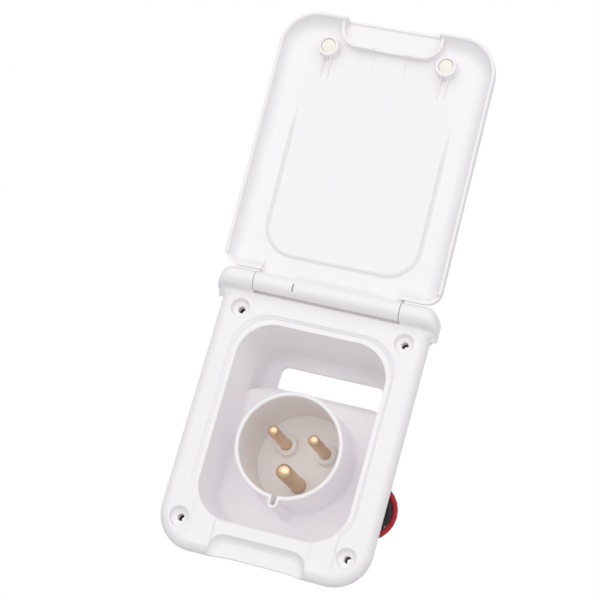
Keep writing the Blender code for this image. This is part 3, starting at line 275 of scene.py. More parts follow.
def loft(name: str, rings: Sequence[Ring]) -> Piece:
    """A closed object skinned over rings.

    Args:
        name: The object's name.
        rings: The rings' points in millimetres.

    Returns:
        The object.
    """
    bm = bmesh.new()
    loft_into(bm, rings)
    return closed_mesh(name, bm)


def turned_into(bm: BMesh, profile: Sequence[Point2], centre: Point2, segments: int) -> None:
    """Turns (radius, y) points about a Y axis. The profile starts and ends on the axis.

    Args:
        bm: Where the faces go.
        profile: The turned section.
        centre: The axis' place as (x, z).
        segments: Sides of the turned form.
    """
    turns = [2 * math.pi * i / segments for i in range(segments)]
    rings = []
    for radius, y in profile[1:-1]:
        ring = [(centre[0] + radius * math.cos(a), y, centre[1] + radius * math.sin(a)) for a in turns]
        rings.append([bm.verts.new(point) for point in ring])
    first = bm.verts.new((centre[0], profile[0][1], centre[1]))
    last = bm.verts.new((centre[0], profile[-1][1], centre[1]))
    for i in range(segments):
        j = (i + 1) % segments
        bm.faces.new((first, rings[0][i], rings[0][j]))
        bm.faces.new((last, rings[-1][j], rings[-1][i]))
        for low, high in zip(rings, rings[1:]):
            bm.faces.new((low[i], low[j], high[j], high[i]))


def turned_set(name: str, profile: Sequence[Point2], centres: Iterable[Point2], segments: int) -> Piece:
    """One object with the same turned form at several places.

    Args:
        name: The object's name.
        profile: The turned section.
        centres: Each axis' place as (x, z).
        segments: Sides of each form.

    Returns:
        The object.
    """
    bm = bmesh.new()
    for centre in centres:
        turned_into(bm, profile, centre, segments)
    return closed_mesh(name, bm)


def plug(radius: float, near: float, far: float) -> Outline:
    """The turned section of a plain round plug between two places on its axis."""
    return [(0.0, near), (radius, near), (radius, far), (0.0, far)]


def box_into(bm: BMesh, low: Sequence[float], high: Sequence[float]) -> None:
    """Adds a rectangular block between two corners.

    Args:
        bm: Where the faces go.
        low: Least corner.
        high: Greatest corner.
    """
    corners = [[x, y, z] for x in (low[0], high[0]) for y in (low[1], high[1]) for z in (low[2], high[2])]
    verts = [bm.verts.new(c) for c in corners]
    for face in ((0, 1, 3, 2), (4, 6, 7, 5), (0, 4, 5, 1), (2, 3, 7, 6), (0, 2, 6, 4), (1, 5, 7, 3)):
        bm.faces.new([verts[i] for i in face])


def boxes(name: str, corners: Iterable[tuple[Point3, Point3]]) -> Piece:
    """Rectangular blocks, each between its least and its greatest corner, as one object."""
    bm = bmesh.new()
    for low, high in corners:
        box_into(bm, low, high)
    return closed_mesh(name, bm)


def block(name: str, low: Point3, high: Point3) -> Piece:
    """One rectangular block as an object."""
    return boxes(name, [(low, high)])


def bar(name: str, radius: float, start: Sequence[float], end: Sequence[float], segments: int = 64) -> Piece:
    """A plain round bar between two points.

    Args:
        name: The object's name.
        radius: The bar's radius.
        start: One end.
        end: The other end.
        segments: Sides of the bar.

    Returns:
        The object.
    """
    bm = bmesh.new()
    first, last = Vector(start), Vector(end)
    axis = last - first
    turn = Vector((0, 0, 1)).rotation_difference(axis).to_matrix().to_4x4()
    place = Matrix.Translation((first + last) / 2) @ turn
    bmesh.ops.create_cone(
        bm, cap_ends=True, segments=segments, radius1=radius, radius2=radius, depth=axis.length, matrix=place
    )
    return closed_mesh(name, bm)


def combine(target: Piece, tool: Piece, operation: str) -> None:
    """Joins or cuts the target with a tool, at once, and removes the tool.

    Args:
        target: The piece that is changed.
        tool: The form that is added or taken away.
        operation: UNION or DIFFERENCE.
    """
    modifier = target.modifiers.new(tool.name, "BOOLEAN")
    modifier.operation = operation
    modifier.solver = "EXACT"
    modifier.object = tool
    settle(target)
    spent = tool.data
    bpy.data.objects.remove(tool)
    bpy.data.meshes.remove(spent)


def join(target: Piece, tool: Piece) -> None:
    """Adds a form to the target."""
    combine(target, tool, "UNION")


def cut(target: Piece, tool: Piece) -> None:
    """Takes a form away from the target."""
    combine(target, tool, "DIFFERENCE")


def settle(piece: Piece) -> Piece:
    """Turns a piece with live modifiers, or a curve, into a plain mesh.

    Args:
        piece: The object.

    Returns:
        The same object with a new mesh and no modifiers.
    """
    bpy.context.view_layer.update()
    graph = bpy.context.evaluated_depsgraph_get()
    mesh = bpy.data.meshes.new_from_object(piece.evaluated_get(graph))
    spent = piece.data
    piece.modifiers.clear()
    piece.data = mesh
    mesh.name = piece.name
    bpy.data.meshes.remove(spent)
    return piece


def soften(piece: Piece, width: float = 0.28, segments: int = 2, angle: float = 38.0) -> None:
    """Rounds a moulding's remaining sharp edges and shades it smooth.

    Args:
        piece: The moulding.
        width: Width of the rounding in millimetres.
        segments: Faces across it.
        angle: Least angle between two faces that gets one, in degrees.
    """
    bm = bmesh.new()
    bm.from_mesh(piece.data)
    bmesh.ops.remove_doubles(bm, verts=bm.verts, dist=WELD * MM)
    bmesh.ops.dissolve_degenerate(bm, edges=bm.edges, dist=WELD * MM)
    bm.to_mesh(piece.data)
    bm.free()
    bevel = piece.modifiers.new("edge_round", "BEVEL")
    bevel.width = width * MM
    bevel.segments = segments
    bevel.limit_method = "ANGLE"
    bevel.angle_limit = math.radians(angle)
    bevel.use_clamp_overlap = True
    bevel.miter_outer = "MITER_ARC"
    settle(piece)
    smooth(piece)


def smooth(piece: Piece, angle: float = 32.0) -> None:
    """Shades a piece smooth up to an angle, with flat faces kept flat.

    Args:
        piece: The object.
        angle: Greatest smooth angle in degrees.
    """
    piece.data.shade_smooth()
    piece.data.set_sharp_from_angle(angle=math.radians(angle))
    weighted = piece.modifiers.new("flat_faces", "WEIGHTED_NORMAL")
    weighted.keep_sharp = True
    weighted.weight = 100
    settle(piece)


def dress(piece: Piece, material: Material, body: Body, stands_for: Iterable[str]) -> None:
    """Gives a finished piece its material and its body, and hides the nodes that it stands for.

    Args:
        piece: The finished object.
        material: Its finish.
        body: The rigid body that carries it.
        stands_for: Names of the nodes that it replaces.
    """
    piece.data.materials.clear()
    piece.data.materials.append(material)
    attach(piece, body.value)
    names = list(stands_for)
    if names:
        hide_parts(*names)
    LOG.info("%s rides on %s with %s", piece.name, body.value, material.name)


class Tree:
    """A small helper that lays nodes in a shader or geometry tree."""

    def __init__(self, tree: NodeTree) -> None:
        """Keeps the tree that nodes go into."""
        self.tree = tree
        self.column = 0

    def add(self, kind: str, **settings: object) -> Node:
        """Adds a node and sets its properties and inputs.

        Args:
            kind: The node's type name.
            settings: Properties by name, and inputs by name in a dictionary called inputs.

        Returns:
            The node.
        """
        node = self.tree.nodes.new(kind)
        self.column += 1
        node.location = (200 * self.column, 0)
        for name, value in settings.pop("inputs", {}).items():
            node.inputs[name].default_value = value
        for name, value in settings.items():
            setattr(node, name, value)
        return node

    def scaled(self, value: Socket, factor: float) -> Socket:
        """A value times a plain factor."""
        node = self.add("ShaderNodeMath", operation="MULTIPLY")
        node.inputs[1].default_value = factor
        self.link(value, node.inputs[0])
        return node.outputs[0]

    def link(self, start: Socket, end: Socket) -> None:
        """Joins two sockets."""
        self.tree.links.new(start, end)


def shader_group(name: str, inputs: dict[str, float], outputs: Sequence[str]) -> tuple[Tree, Node, Node]:
    """Starts a shader node group with named float inputs and outputs.

    Args:
        name: The group's name.
        inputs: Input names with their first values.
        outputs: Output names.

    Returns:
        The tree helper, the group's input node and its output node.
    """
    group = bpy.data.node_groups.new(name, "ShaderNodeTree")
    for label, value in inputs.items():
        socket = group.interface.new_socket(name=label, in_out="INPUT", socket_type="NodeSocketFloat")
        socket.default_value = value
    for label in outputs:
        group.interface.new_socket(name=label, in_out="OUTPUT", socket_type="NodeSocketFloat")
    tree = Tree(group)
    return tree, tree.add("NodeGroupInput"), tree.add("NodeGroupOutput")


class SurfaceGroups:
    """Shader node groups that several finishes share."""

    def __init__(self) -> None:
        """Builds each group once."""
        self.grain = self.moulding_grain()
        self.clouds = self.tone_clouds()
        self.rings = self.lathe_rings()

    def moulding_grain(self) -> NodeTree:
        """Fine spark-eroded grain of a satin moulding tool, as a height and a roughness mask."""
        values = {"Scale": 2600.0, "Drift": 55.0}
        tree, start, end = shader_group("moulding_grain", values, ("Height", "Mask"))
        place = tree.add("ShaderNodeTexCoord")
        for value, detail, rough, result in (("Scale", 3.0, 0.6, "Height"), ("Drift", 2.0, 0.5, "Mask")):
            noise = tree.add("ShaderNodeTexNoise", inputs={"Detail": detail, "Roughness": rough})
            tree.link(place.outputs["Object"], noise.inputs["Vector"])
            tree.link(start.outputs[value], noise.inputs["Scale"])
            tree.link(noise.outputs["Fac"], end.inputs[result])
        return tree.tree

    def tone_clouds(self) -> NodeTree:
        """Slow changes of tone across a surface, as a mask from 0 to 1."""
        tree, start, end = shader_group("tone_clouds", {"Scale": 22.0, "Contrast": 1.0}, ("Mask",))
        place = tree.add("ShaderNodeTexCoord")
        noise = tree.add("ShaderNodeTexNoise", inputs={"Detail": 4.0, "Roughness": 0.55})
        lift = tree.add("ShaderNodeMath", operation="SUBTRACT")
        lift.inputs[1].default_value = 0.5
        gain = tree.add("ShaderNodeMath", operation="MULTIPLY_ADD")
        gain.inputs[2].default_value = 0.5
        gain.use_clamp = True
        tree.link(place.outputs["Object"], noise.inputs["Vector"])
        tree.link(start.outputs["Scale"], noise.inputs["Scale"])
        tree.link(noise.outputs["Fac"], lift.inputs[0])
        tree.link(lift.outputs[0], gain.inputs[0])
        tree.link(start.outputs["Contrast"], gain.inputs[1])
        tree.link(gain.outputs[0], end.inputs["Mask"])
        return tree.tree

    def lathe_rings(self) -> NodeTree:
        """Fine rings that a turning tool leaves round a pin that lies along Y."""
        tree, start, end = shader_group("lathe_rings", {"Pitch": 900.0, "Waver": 0.6}, ("Height", "Mask"))
        place = tree.add("ShaderNodeTexCoord")
        wave = tree.add("ShaderNodeTexWave", wave_type="BANDS", bands_direction="Y", inputs={"Detail": 2.0})
        noise = tree.add("ShaderNodeTexNoise", inputs={"Scale": 700.0, "Detail": 3.0})
        tree.link(place.outputs["Object"], wave.inputs["Vector"])
        tree.link(place.outputs["Object"], noise.inputs["Vector"])
        tree.link(start.outputs["Pitch"], wave.inputs["Scale"])
        tree.link(start.outputs["Waver"], wave.inputs["Distortion"])
        tree.link(wave.outputs["Fac"], end.inputs["Height"])
        tree.link(noise.outputs["Fac"], end.inputs["Mask"])
        return tree.tree


@dataclass(frozen=True)
class Finish:
    """Values that every finish has.

    Args:
        name: The material's name.
        light: Base colour where the tone is light.
        dark: Base colour where the tone is dark.
        smooth: Least roughness.
        rough: Greatest roughness.
        bump: Height of the surface relief in millimetres.
    """

    name: str
    light: Point3
    dark: Point3
    smooth: float
    rough: float
    bump: float

    def start(self, groups: SurfaceGroups, clouds: float) -> tuple[Tree, Node, Node]:
        """Makes the material with its tone and its shader.

        Args:
            groups: The shared node groups.
            clouds: Scale of the slow tone changes.

        Returns:
            The tree helper, the shader node and the tone mask's group node.
        """
        material = bpy.data.materials.new(self.name)
        material.use_nodes = True
        tree = Tree(material.node_tree)
        shader = material.node_tree.nodes["Principled BSDF"]
        tone = tree.add("ShaderNodeGroup", node_tree=groups.clouds)
        tone.inputs["Scale"].default_value = clouds
        tone.inputs["Contrast"].default_value = TONE_CONTRAST
        mix = tree.add("ShaderNodeMix", data_type="RGBA")
        mix.inputs[MIX_FIRST_COLOUR].default_value = (*self.dark, 1.0)
        mix.inputs[MIX_SECOND_COLOUR].default_value = (*self.light, 1.0)
        tree.link(tone.outputs["Mask"], mix.inputs["Factor"])
        tree.link(mix.outputs[MIX_RESULT_COLOUR], shader.inputs["Base Color"])
        return tree, shader, tone

    def relief(self, tree: Tree, shader: Node, height: Socket, mask: Socket) -> None:
        """Links a height to the shader's normal and a mask to its roughness.

        Args:
            tree: The material's tree helper.
            shader: The Principled shader.
            height: The relief's height.
            mask: A mask from 0 to 1.
        """
        bump = tree.add("ShaderNodeBump", inputs={"Distance": self.bump * MM, "Strength": 1.0})
        spread = tree.add("ShaderNodeMapRange", inputs={"To Min": self.smooth, "To Max": self.rough})
        tree.link(height, bump.inputs["Height"])
        tree.link(bump.outputs["Normal"], shader.inputs["Normal"])
        tree.link(mask, spread.inputs["Value"])
        tree.link(spread.outputs["Result"], shader.inputs["Roughness"])


@dataclass(frozen=True)
class MouldedPlastic(Finish):
    """Satin moulded plastic with a fine tool grain."""

    scale: float = 2600.0
    clouds: float = 18.0

    def make(self, groups: SurfaceGroups) -> Material:
        """Builds the material from the shared groups."""
        tree, shader, _ = self.start(groups, self.clouds)
        grain = tree.add("ShaderNodeGroup", node_tree=groups.grain)
        grain.inputs["Scale"].default_value = self.scale
        self.relief(tree, shader, grain.outputs["Height"], grain.outputs["Mask"])
        shader.inputs["IOR"].default_value = PLASTIC_IOR
        return bpy.data.materials[self.name]


@dataclass(frozen=True)
class TurnedMetal(Finish):
    """Metal turned on a lathe, with rings round its axis and a patchy polish."""

    pitch: float = 900.0
    clouds: float = 240.0

    def make(self, groups: SurfaceGroups) -> Material:
        """Builds the material from the shared groups."""
        tree, shader, _ = self.start(groups, self.clouds)
        rings = tree.add("ShaderNodeGroup", node_tree=groups.rings)
        rings.inputs["Pitch"].default_value = self.pitch
        self.relief(tree, shader, rings.outputs["Height"], rings.outputs["Mask"])
        shader.inputs["Metallic"].default_value = 1.0
        return bpy.data.materials[self.name]


@dataclass(frozen=True)
class CellFoam(Finish):
    """Closed-cell foam with open cells on its cut faces."""

    cell: float = 1600.0
    clouds: float = 60.0

    def make(self, groups: SurfaceGroups) -> Material:
        """Builds the material from the shared groups."""
        tree, shader, tone = self.start(groups, self.clouds)
        place = tree.add("ShaderNodeTexCoord")
        cells = tree.add("ShaderNodeTexVoronoi", inputs={"Scale": self.cell})
        tree.link(place.outputs["Object"], cells.inputs["Vector"])
        self.relief(tree, shader, cells.outputs["Distance"], tone.outputs["Mask"])
        return bpy.data.materials[self.name]


@dataclass(frozen=True)
class Finishes:
    """Every finish on the inlet, made once."""

    white: Material
    shroud: Material
    cream: Material
    brass: Material
    steel: Material
    foam: Material
    red: Material
    black: Material
    green: Material
    tie: Material

    @classmethod
    def mix(cls) -> Finishes:
        """Makes the shared groups and the finishes that use them."""
        groups = SurfaceGroups()
        sheath = (0.32, 0.45, 0.006, 1400.0, 90.0)
        plastic = {
            "white": (
                "satin_white_moulding", (0.945, 0.925, 0.942), (0.932, 0.911, 0.928), 0.30, 0.38, 0.004,
            ),
            "shroud": ("carrier_moulding", (0.975, 0.955, 0.95), (0.965, 0.945, 0.94), 0.34, 0.42, 0.004),
            "cream": ("cream_magnet_coat", (0.97, 0.93, 0.86), (0.95, 0.90, 0.82), 0.40, 0.55, 0.01),
            "tie": ("nylon_tie", (0.84, 0.84, 0.81), (0.78, 0.78, 0.75), 0.34, 0.46, 0.006),
            "red": ("red_sheath", (0.55, 0.025, 0.035), (0.42, 0.015, 0.022), *sheath),
            "black": ("black_sheath", (0.022, 0.022, 0.025), (0.012, 0.012, 0.014), *sheath),
            "green": ("green_sheath", (0.24, 0.42, 0.36), (0.18, 0.34, 0.28), *sheath),
        }
        metal = {
            "brass": ("turned_brass", (0.80, 0.60, 0.40), (0.66, 0.46, 0.29), 0.28, 0.42, 0.006),
            "steel": ("plated_steel", (0.66, 0.66, 0.68), (0.52, 0.52, 0.54), 0.18, 0.34, 0.006),
        }
        foam = CellFoam("black_cell_foam", (0.045, 0.045, 0.048), (0.025, 0.025, 0.027), 0.80, 0.95, 0.12)
        made = {key: MouldedPlastic(*values).make(groups) for key, values in plastic.items()}
        made |= {key: TurnedMetal(*values).make(groups) for key, values in metal.items()}
        return cls(foam=foam.make(groups), **made)


@dataclass(frozen=True)
class Viewpoint:
    """The photograph's camera, found from the plate's holes, the lid and the pins."""

    place: Point3 = (0.19179663, -0.74823407, -0.12585742)
    turn: Point3 = (1.81396557, -0.27042511, 0.20335637)
    lens: float = 107.586
    sensor: float = 36.0
    nearest: float = 0.01

    def set_up(self) -> None:
        """Makes the camera and hands it to the scene."""
        data = bpy.data.cameras.new("camera")
        data.lens = self.lens
        data.sensor_width = self.sensor
        data.clip_start = self.nearest
        camera = linked("camera", data)
        camera.location = self.place
        camera.rotation_euler = Euler(self.turn)
        bpy.context.scene.camera = camera


@dataclass
class Leads:
    """Three flying leads: terminal, cord clamp, a loop to the right, and tails tied behind the pedestal."""

    loop_x: float = 31.2
    loop_z: float = -19.2
    loop_radius: float = 12.4
    loop_steps: int = 8
    tail_x: float = -27.0
    tail_drop: float = 1.6
    tail_shares: tuple[float, ...] = (0.0, 0.35, 0.7, 1.0)
    first_run: tuple[float, float] = (2.0, 5.0)
    clamp_run: float = 9.0
    black_turn: Point2 = (8.2, 1.0)
    black_forward: float = 2.1
    count: int = 38
    angles: dict[str, float] = field(default_factory=lambda: {"red": 30.0, "black": 150.0, "green": 270.0})
    exits: dict[str, float] = field(default_factory=lambda: {"red": 0.0, "black": -45.0, "green": 0.0})

    def route(self, colour: str) -> list[Vector]:
        """The lead's centre line in millimetres.

        Args:
            colour: The lead's colour, which names its terminal.

        Returns:
            Points from the terminal to the free end.
        """
        order = list(self.angles).index(colour)
        turn = math.radians(self.angles[colour])
        x = DATUM.pin_circle * math.cos(turn)
        y = DATUM.face_y + DATUM.lead_depth
        start = Vector((x, y, DATUM.tube_z + DATUM.pin_circle * math.sin(turn)))
        out = math.radians(self.exits[colour])
        aim = Vector((math.cos(out), 0, math.sin(out)))
        radius = self.loop_radius - order * DATUM.lead_pitch
        top = self.loop_z + radius
        points = [start + aim * run for run in self.first_run]
        if colour == "black":
            points.append(Vector((x + self.black_turn[0], y, top + self.black_turn[1])))
        points += [Vector((DATUM.clamp_x - run, y, top)) for run in (self.clamp_run, 0.0)]
        for i in range(1, self.loop_steps):
            angle = math.pi / 2 - math.pi * i / self.loop_steps
            swell = math.sin(math.pi * i / self.loop_steps) ** 2
            reach = radius + swell * order
            forward = self.black_forward * swell if order == 1 else 0.0
            across, up = reach * math.cos(angle), reach * math.sin(angle)
            points.append(Vector((self.loop_x + across, y - forward, self.loop_z + up)))
        for t in self.tail_shares:
            run = self.loop_x - 1 + (self.tail_x - self.loop_x + 1) * t
            points.append(Vector((run, y, self.loop_z - radius - self.tail_drop * t * t)))
        return self.even(points, self.count)

    @staticmethod
    def even(points: list[Vector], count: int) -> list[Vector]:
        """A smooth curve through points, as evenly spaced points.

        Args:
            points: The route's own points.
            count: How many points the result has.

        Returns:
            The evenly spaced points.
        """
        fine = []
        ends = [points[0] * 2 - points[1]] + points + [points[-1] * 2 - points[-2]]
        for a, b, c, d in zip(ends, ends[1:], ends[2:], ends[3:]):
            for i in range(12):
                t = i / 12
                bend = (2 * a - 5 * b + 4 * c - d) * t**2 + (3 * b - a - 3 * c + d) * t**3
                fine.append(0.5 * ((2 * b) + (c - a) * t + bend))
        fine.append(points[-1])
        lengths = [0.0]
        for a, b in zip(fine, fine[1:]):
            lengths.append(lengths[-1] + (b - a).length)
        spaced = []
        j = 0
        for i in range(count):
            goal = lengths[-1] * i / (count - 1)
            while j < len(lengths) - 2 and lengths[j + 1] < goal:
                j += 1
            spaced.append(fine[j].lerp(fine[j + 1], (goal - lengths[j]) / (lengths[j + 1] - lengths[j])))
        return spaced

    def build(self, finishes: Finishes) -> None:
        """Args:
            finishes: The inlet's finishes.
        """
        looks = {
            "red": (finishes.red, Slot.RED),
            "black": (finishes.black, Slot.BLACK),
            "green": (finishes.green, Slot.GREEN),
        }
        for colour, (material, slot) in looks.items():
            points = [p * MM for p in self.route(colour)]
            data = bpy.data.curves.new(f"{colour}_flying_lead", "CURVE")
            data.dimensions = "3D"
            data.bevel_depth = DATUM.lead_diameter / 2 * MM
            data.bevel_resolution = 6
            data.use_fill_caps = True
            spline = data.splines.new("POLY")
            spline.points.add(len(points) - 1)
            for point, co in zip(spline.points, points):
                point.co = (*co, 1.0)
            spline.use_smooth = True
            lead = linked(f"{colour}_flying_lead", data)
            dress(lead, material, Body.HOUSING, [f"lead_{colour}"])


@dataclass
class Housing:
    """The one-piece moulding: face plate, stepped bowl, keyed tube, hinge cheeks and rear posts."""

    width: float = 95.8
    low: float = -60.8
    high: float = 62.0
    edge: float = 5.0
    corner: float = 17.0
    top_corner: float = 7.0
    wall: float = 2.8
    arch_rise: float = 0.9
    arch_width: float = 46.0
    hole_radius: float = 1.6
    recess_radius: float = 4.2
    recess_depth: float = 3.5
    recess_lip: float = 0.6
    boss_wall: float = 1.9
    opening_width: float = 68.0
    opening_low: float = -44.5
    opening_high: float = 43.75
    opening_corner: float = 16.0
    land_width: float = 2.8
    land_depth: float = 1.2
    mouth_round: float = 1.7
    mouth_depth: float = 2.4
    bowl_wall: float = 2.2
    bowl_depth: float = 33.0
    draft: float = 0.034
    floor_fillet: float = 3.0
    well_depth: float = 48.0
    well_low: float = 23.4
    well_fillet: float = 5.0
    shoulder: float = 5.0
    ear: float = 10.0
    window_width: float = 49.4
    window_low: float = 23.8
    window_high: float = 36.4
    scoop_top: float = -50.5
    scoop_width: float = 43.4
    scoop_corner: float = 6.5
    scoop_depth: float = 3.6
    scoop_draft: float = 2.2
    scoop_splay: float = 2.0
    channel_inner: float = 21.7
    channel_waist: float = 32.3
    channel_low: float = -52.8
    channel_run_out: float = 5.5
    channel_slope: float = 0.5
    channel_corner: float = 3.0
    channel_lean: float = 2.9
    tube_wall: float = 2.0
    tube_rim: float = 2.1
    tube_fillet: float = 2.0
    tube_edge: float = 0.8
    key_width: float = 5.0
    key_slot: float = 2.2
    key_reach: float = 27.8
    cheek_gap: float = 0.4
    cheek_end: float = 6.0
    cheek_shrink: float = 0.40
    cheek_fillet: float = 1.5
    cheek_slope: float = 40.0
    cheek_foot: float = 8.8
    foot_start: float = 38.0
    flare_low: float = 55.0
    flare_fade: float = 4.5
    flare_sink: float = 0.3
    barrel_gap: float = 1.35
    carrier_post: float = 3.4
    post_radius: float = 2.7
    saddle: float = 2.4
    rib: float = 1.6
    rib_share_x: float = 0.24
    rib_share_z: float = 0.3
    cheek_skin: float = 3.4
    clamp_middle: float = -10.0
    ear_reach: float = 27.5
    ear_angles: tuple[float, float] = (30.0, 190.0)

    @property
    def tube_end(self) -> float:
        """Depth of the tube's rear end."""
        return DATUM.collar_depth - DATUM.clear

    def plate_outline(self, inset: float) -> Outline:
        """The face plate's edge, moved in by inset, with the low arch in its bottom edge."""
        half = self.width / 2 - inset
        low = self.low + inset
        corner = self.corner - inset
        points = arc((-half + corner, low + corner), corner, 180, 270, 16)
        for i in range(1, 32):
            x = (i / 16 - 1) * self.arch_width / 2
            points.append((x, low + self.arch_rise * ease(2 - 2 * abs(x) / (self.arch_width / 2) * 0.98)))
        points += arc((half - corner, low + corner), corner, 270, 360, 16)
        top = max(self.top_corner - inset, 1.0)
        high = self.high - inset
        points += arc((half - top, high - top), top, 0, 90, 8)
        points += arc((-half + top, high - top), top, 90, 180, 8)
        return points

    def opening_outline(self, inset: float, depth: float = 0.0) -> Outline:
        """The bowl's mouth, moved in by inset and by the draft at this depth."""
        move = inset + self.draft * max(depth, 0.0)
        half = self.opening_width / 2 - move
        corner = max(self.opening_corner - move, 2.0)
        return rounded(-half, half, self.opening_low + move, self.opening_high - move, corner, corner, 18)

    def well_outline(self, depth: float, inset: float = 0.0) -> Outline:
        """The deep end above the pedestal. Its low edge turns down round the pedestal's corners."""
        move = inset + self.draft * depth
        half = self.opening_width / 2 - move
        high = self.opening_high - move
        corner = self.opening_corner - move
        sink = min(max(depth - self.bowl_depth, 0.0), self.shoulder)
        drop = self.shoulder - math.sqrt(self.shoulder**2 - (self.shoulder - sink) ** 2)
        points = []
        steps = 56
        for i in range(steps + 1):
            x = (2 * i / steps - 1) * half
            over = max(abs(x) - (half - self.ear), 0.0)
            ear = self.ear - math.sqrt(self.ear**2 - (over * 0.9) ** 2)
            points.append((x, self.well_low - ear - drop * (1 - ease(over / self.ear)) + inset * 0.1))
        points += arc((half - corner, high - corner), corner, 0, 90, 18)
        points += arc((-half + corner, high - corner), corner, 90, 180, 18)
        return points

    def well_back_outline(self, depth: float, inset: float) -> Outline:
        """The outside of the deep end, with room below its ears for their wall."""
        move = inset + self.draft * depth - self.bowl_wall
        half = self.opening_width / 2 - move
        high = self.opening_high - move
        corner = self.opening_corner - move
        step = self.well_low - self.bowl_wall + inset
        foot = step - self.ear * 0.6
        ear = self.ear + self.bowl_wall
        points = [(-half, foot), (-half + ear, foot), (-half + ear + 4, step)]
        points += [(half - ear - 4, step), (half - ear, foot), (half, foot)]
        points += arc((half - corner, high - corner), corner, 0, 90, 16)
        points += arc((-half + corner, high - corner), corner, 90, 180, 16)
        return points

    def scoop_outline(self, inset: float) -> Outline:
        """The finger scoop's edge: level on top with round corners, and splayed towards the bottom."""
        half = self.scoop_width / 2 - inset
        top = self.scoop_top - inset
        low = self.low - 4.0
        corner = self.scoop_corner - inset * 0.3
        points = [(half + self.scoop_splay, low)]
        points += arc((half - corner, top - corner), corner, 0, 90, 14)
        points += arc((-half + corner, top - corner), corner, 90, 180, 14)
        points.append((-half - self.scoop_splay, low))
        return points

    def channel_outline(self, side: int, grow: float, low: float) -> Outline:
        """One channel: straight beside the scoop, round its low end, and waisted beside the screw's pad."""
        inner = self.channel_inner - grow
        waist = self.channel_waist + grow
        top = self.opening_low + self.opening_corner * 0.8
        r = self.channel_corner
        points = [(inner, top)]
        points += arc((inner + r, low + r), r, 180, 270, 8)
        points += arc((waist - r, low + r), r, 270, 360, 8)
        for i in range(1, 13):
            t = i / 12
            rise = (top - self.opening_low) * t
            points.append((waist + self.channel_lean * t * t, self.opening_low + rise))
        return [(side * x, z) for x, z in points]

    def cheek_curve(self, x: float, shrink: float) -> Outline:
        """A cheek's section as (along, out) from the hinge axis: round, then falling away behind the face.

        Args:
            x: The section's distance from the middle.
            shrink: How far the section is drawn in towards its foot, from 0 to 1.

        Returns:
            The points from the cheek's top, over its front, down to the plate.
        """
        radius, fillet, rise = DATUM.barrel_radius, self.cheek_fillet, DATUM.hinge_rise
        reach = math.sqrt((radius + fillet) ** 2 - (rise - fillet) ** 2)
        lean = math.degrees(math.atan2(rise - fillet, reach))
        curve = arc((0.0, 0.0), radius, 0, 180 + lean, 26)
        curve += arc((-reach, fillet - rise), fillet, lean, self.cheek_slope - 90, 8)[1:]
        along, out = curve[-1]
        run = (self.cheek_foot + along) * (0.15 + 0.85 * ease((x - self.foot_start) / 4))
        curve.append((along - run, out - run * math.tan(math.radians(self.cheek_slope))))
        foot = (curve[-1][0], -rise - DATUM.plate_thickness)
        keep = 1 - shrink
        return [(foot[0] + (a - foot[0]) * keep, foot[1] + (b - foot[1]) * keep) for a, b in curve]

    def flare_ring(self, side: int, z: float) -> Ring:
        """The section at height z of the plate's side, which widens upwards to meet the cheek.

        Args:
            side: -1 for the left, 1 for the right.
            z: The section's height.

        Returns:
            The ring, just behind the face, with the plate's own edge rounding.
        """
        front = DATUM.face_y + self.flare_sink
        back = DATUM.face_back
        least = self.width / 2 - 0.6
        share = ease((z - self.flare_low + self.flare_fade) / self.flare_fade)
        outer = least + (DATUM.cheek_width / 2 - least) * share
        inner = self.width / 2 - self.edge - 2.0
        corner = arc((outer - self.edge, front + self.edge), self.edge, -90, 0, 14)
        return [(side * x, y, z) for x, y in [(inner, back), (inner, front)] + corner + [(outer, back)]]

    def keyed_circle(self, radius: float, key_half: float, reach: float) -> Outline:
        """A circle about the tube's axis with a round-ended key at its lowest point."""
        start = math.degrees(math.asin(key_half / radius)) - 90
        outline = arc((0, DATUM.tube_z), radius, start, 180 - start, 120)
        return outline + arc((0, DATUM.tube_z - reach + key_half), key_half, 180, 360, 16)

    def ear_places(self) -> list[Point2]:
        """Where the carrier's two screws stand."""
        turns = [math.radians(a) for a in self.ear_angles]
        return [(self.ear_reach * math.cos(a), DATUM.tube_z + self.ear_reach * math.sin(a)) for a in turns]

    def clamp_places(self) -> list[Point2]:
        """Where the cord clamp's two screws stand, the upper one first."""
        span = DATUM.lead_pitch + DATUM.lead_diameter / 2 + self.post_radius + 1.0
        return [(DATUM.clamp_x, self.clamp_middle + span), (DATUM.clamp_x, self.clamp_middle - span)]

    def shell(self) -> Piece:
        """The hollow face plate with its rounded front edge."""
        rings = [DATUM.at_depth(self.plate_outline(0.5), DATUM.plate_thickness)]
        for inset, drop in reversed(quarter_round(self.edge, 12)):
            rings.append(DATUM.at_depth(self.plate_outline(inset), drop))
        plate = loft("housing_moulding", rings)
        half = self.width / 2 - self.wall
        corner = self.corner - self.wall
        high = DATUM.hinge_z - DATUM.barrel_radius - self.barrel_gap - self.wall
        low = self.low + self.wall + self.arch_rise
        rings = []
        for depth, inset in ((0.0, 1.6), (0.6, 0.6), (2.0, 0.0), (DATUM.plate_thickness, 0.0)):
            reach = half - inset
            outline = rounded(-reach, reach, low + inset, high - inset, corner - inset, 6.0 - inset, 10)
            rings.append(DATUM.at_depth(outline, self.wall + depth))
        cut(plate, loft("back_pocket", rings))
        return plate

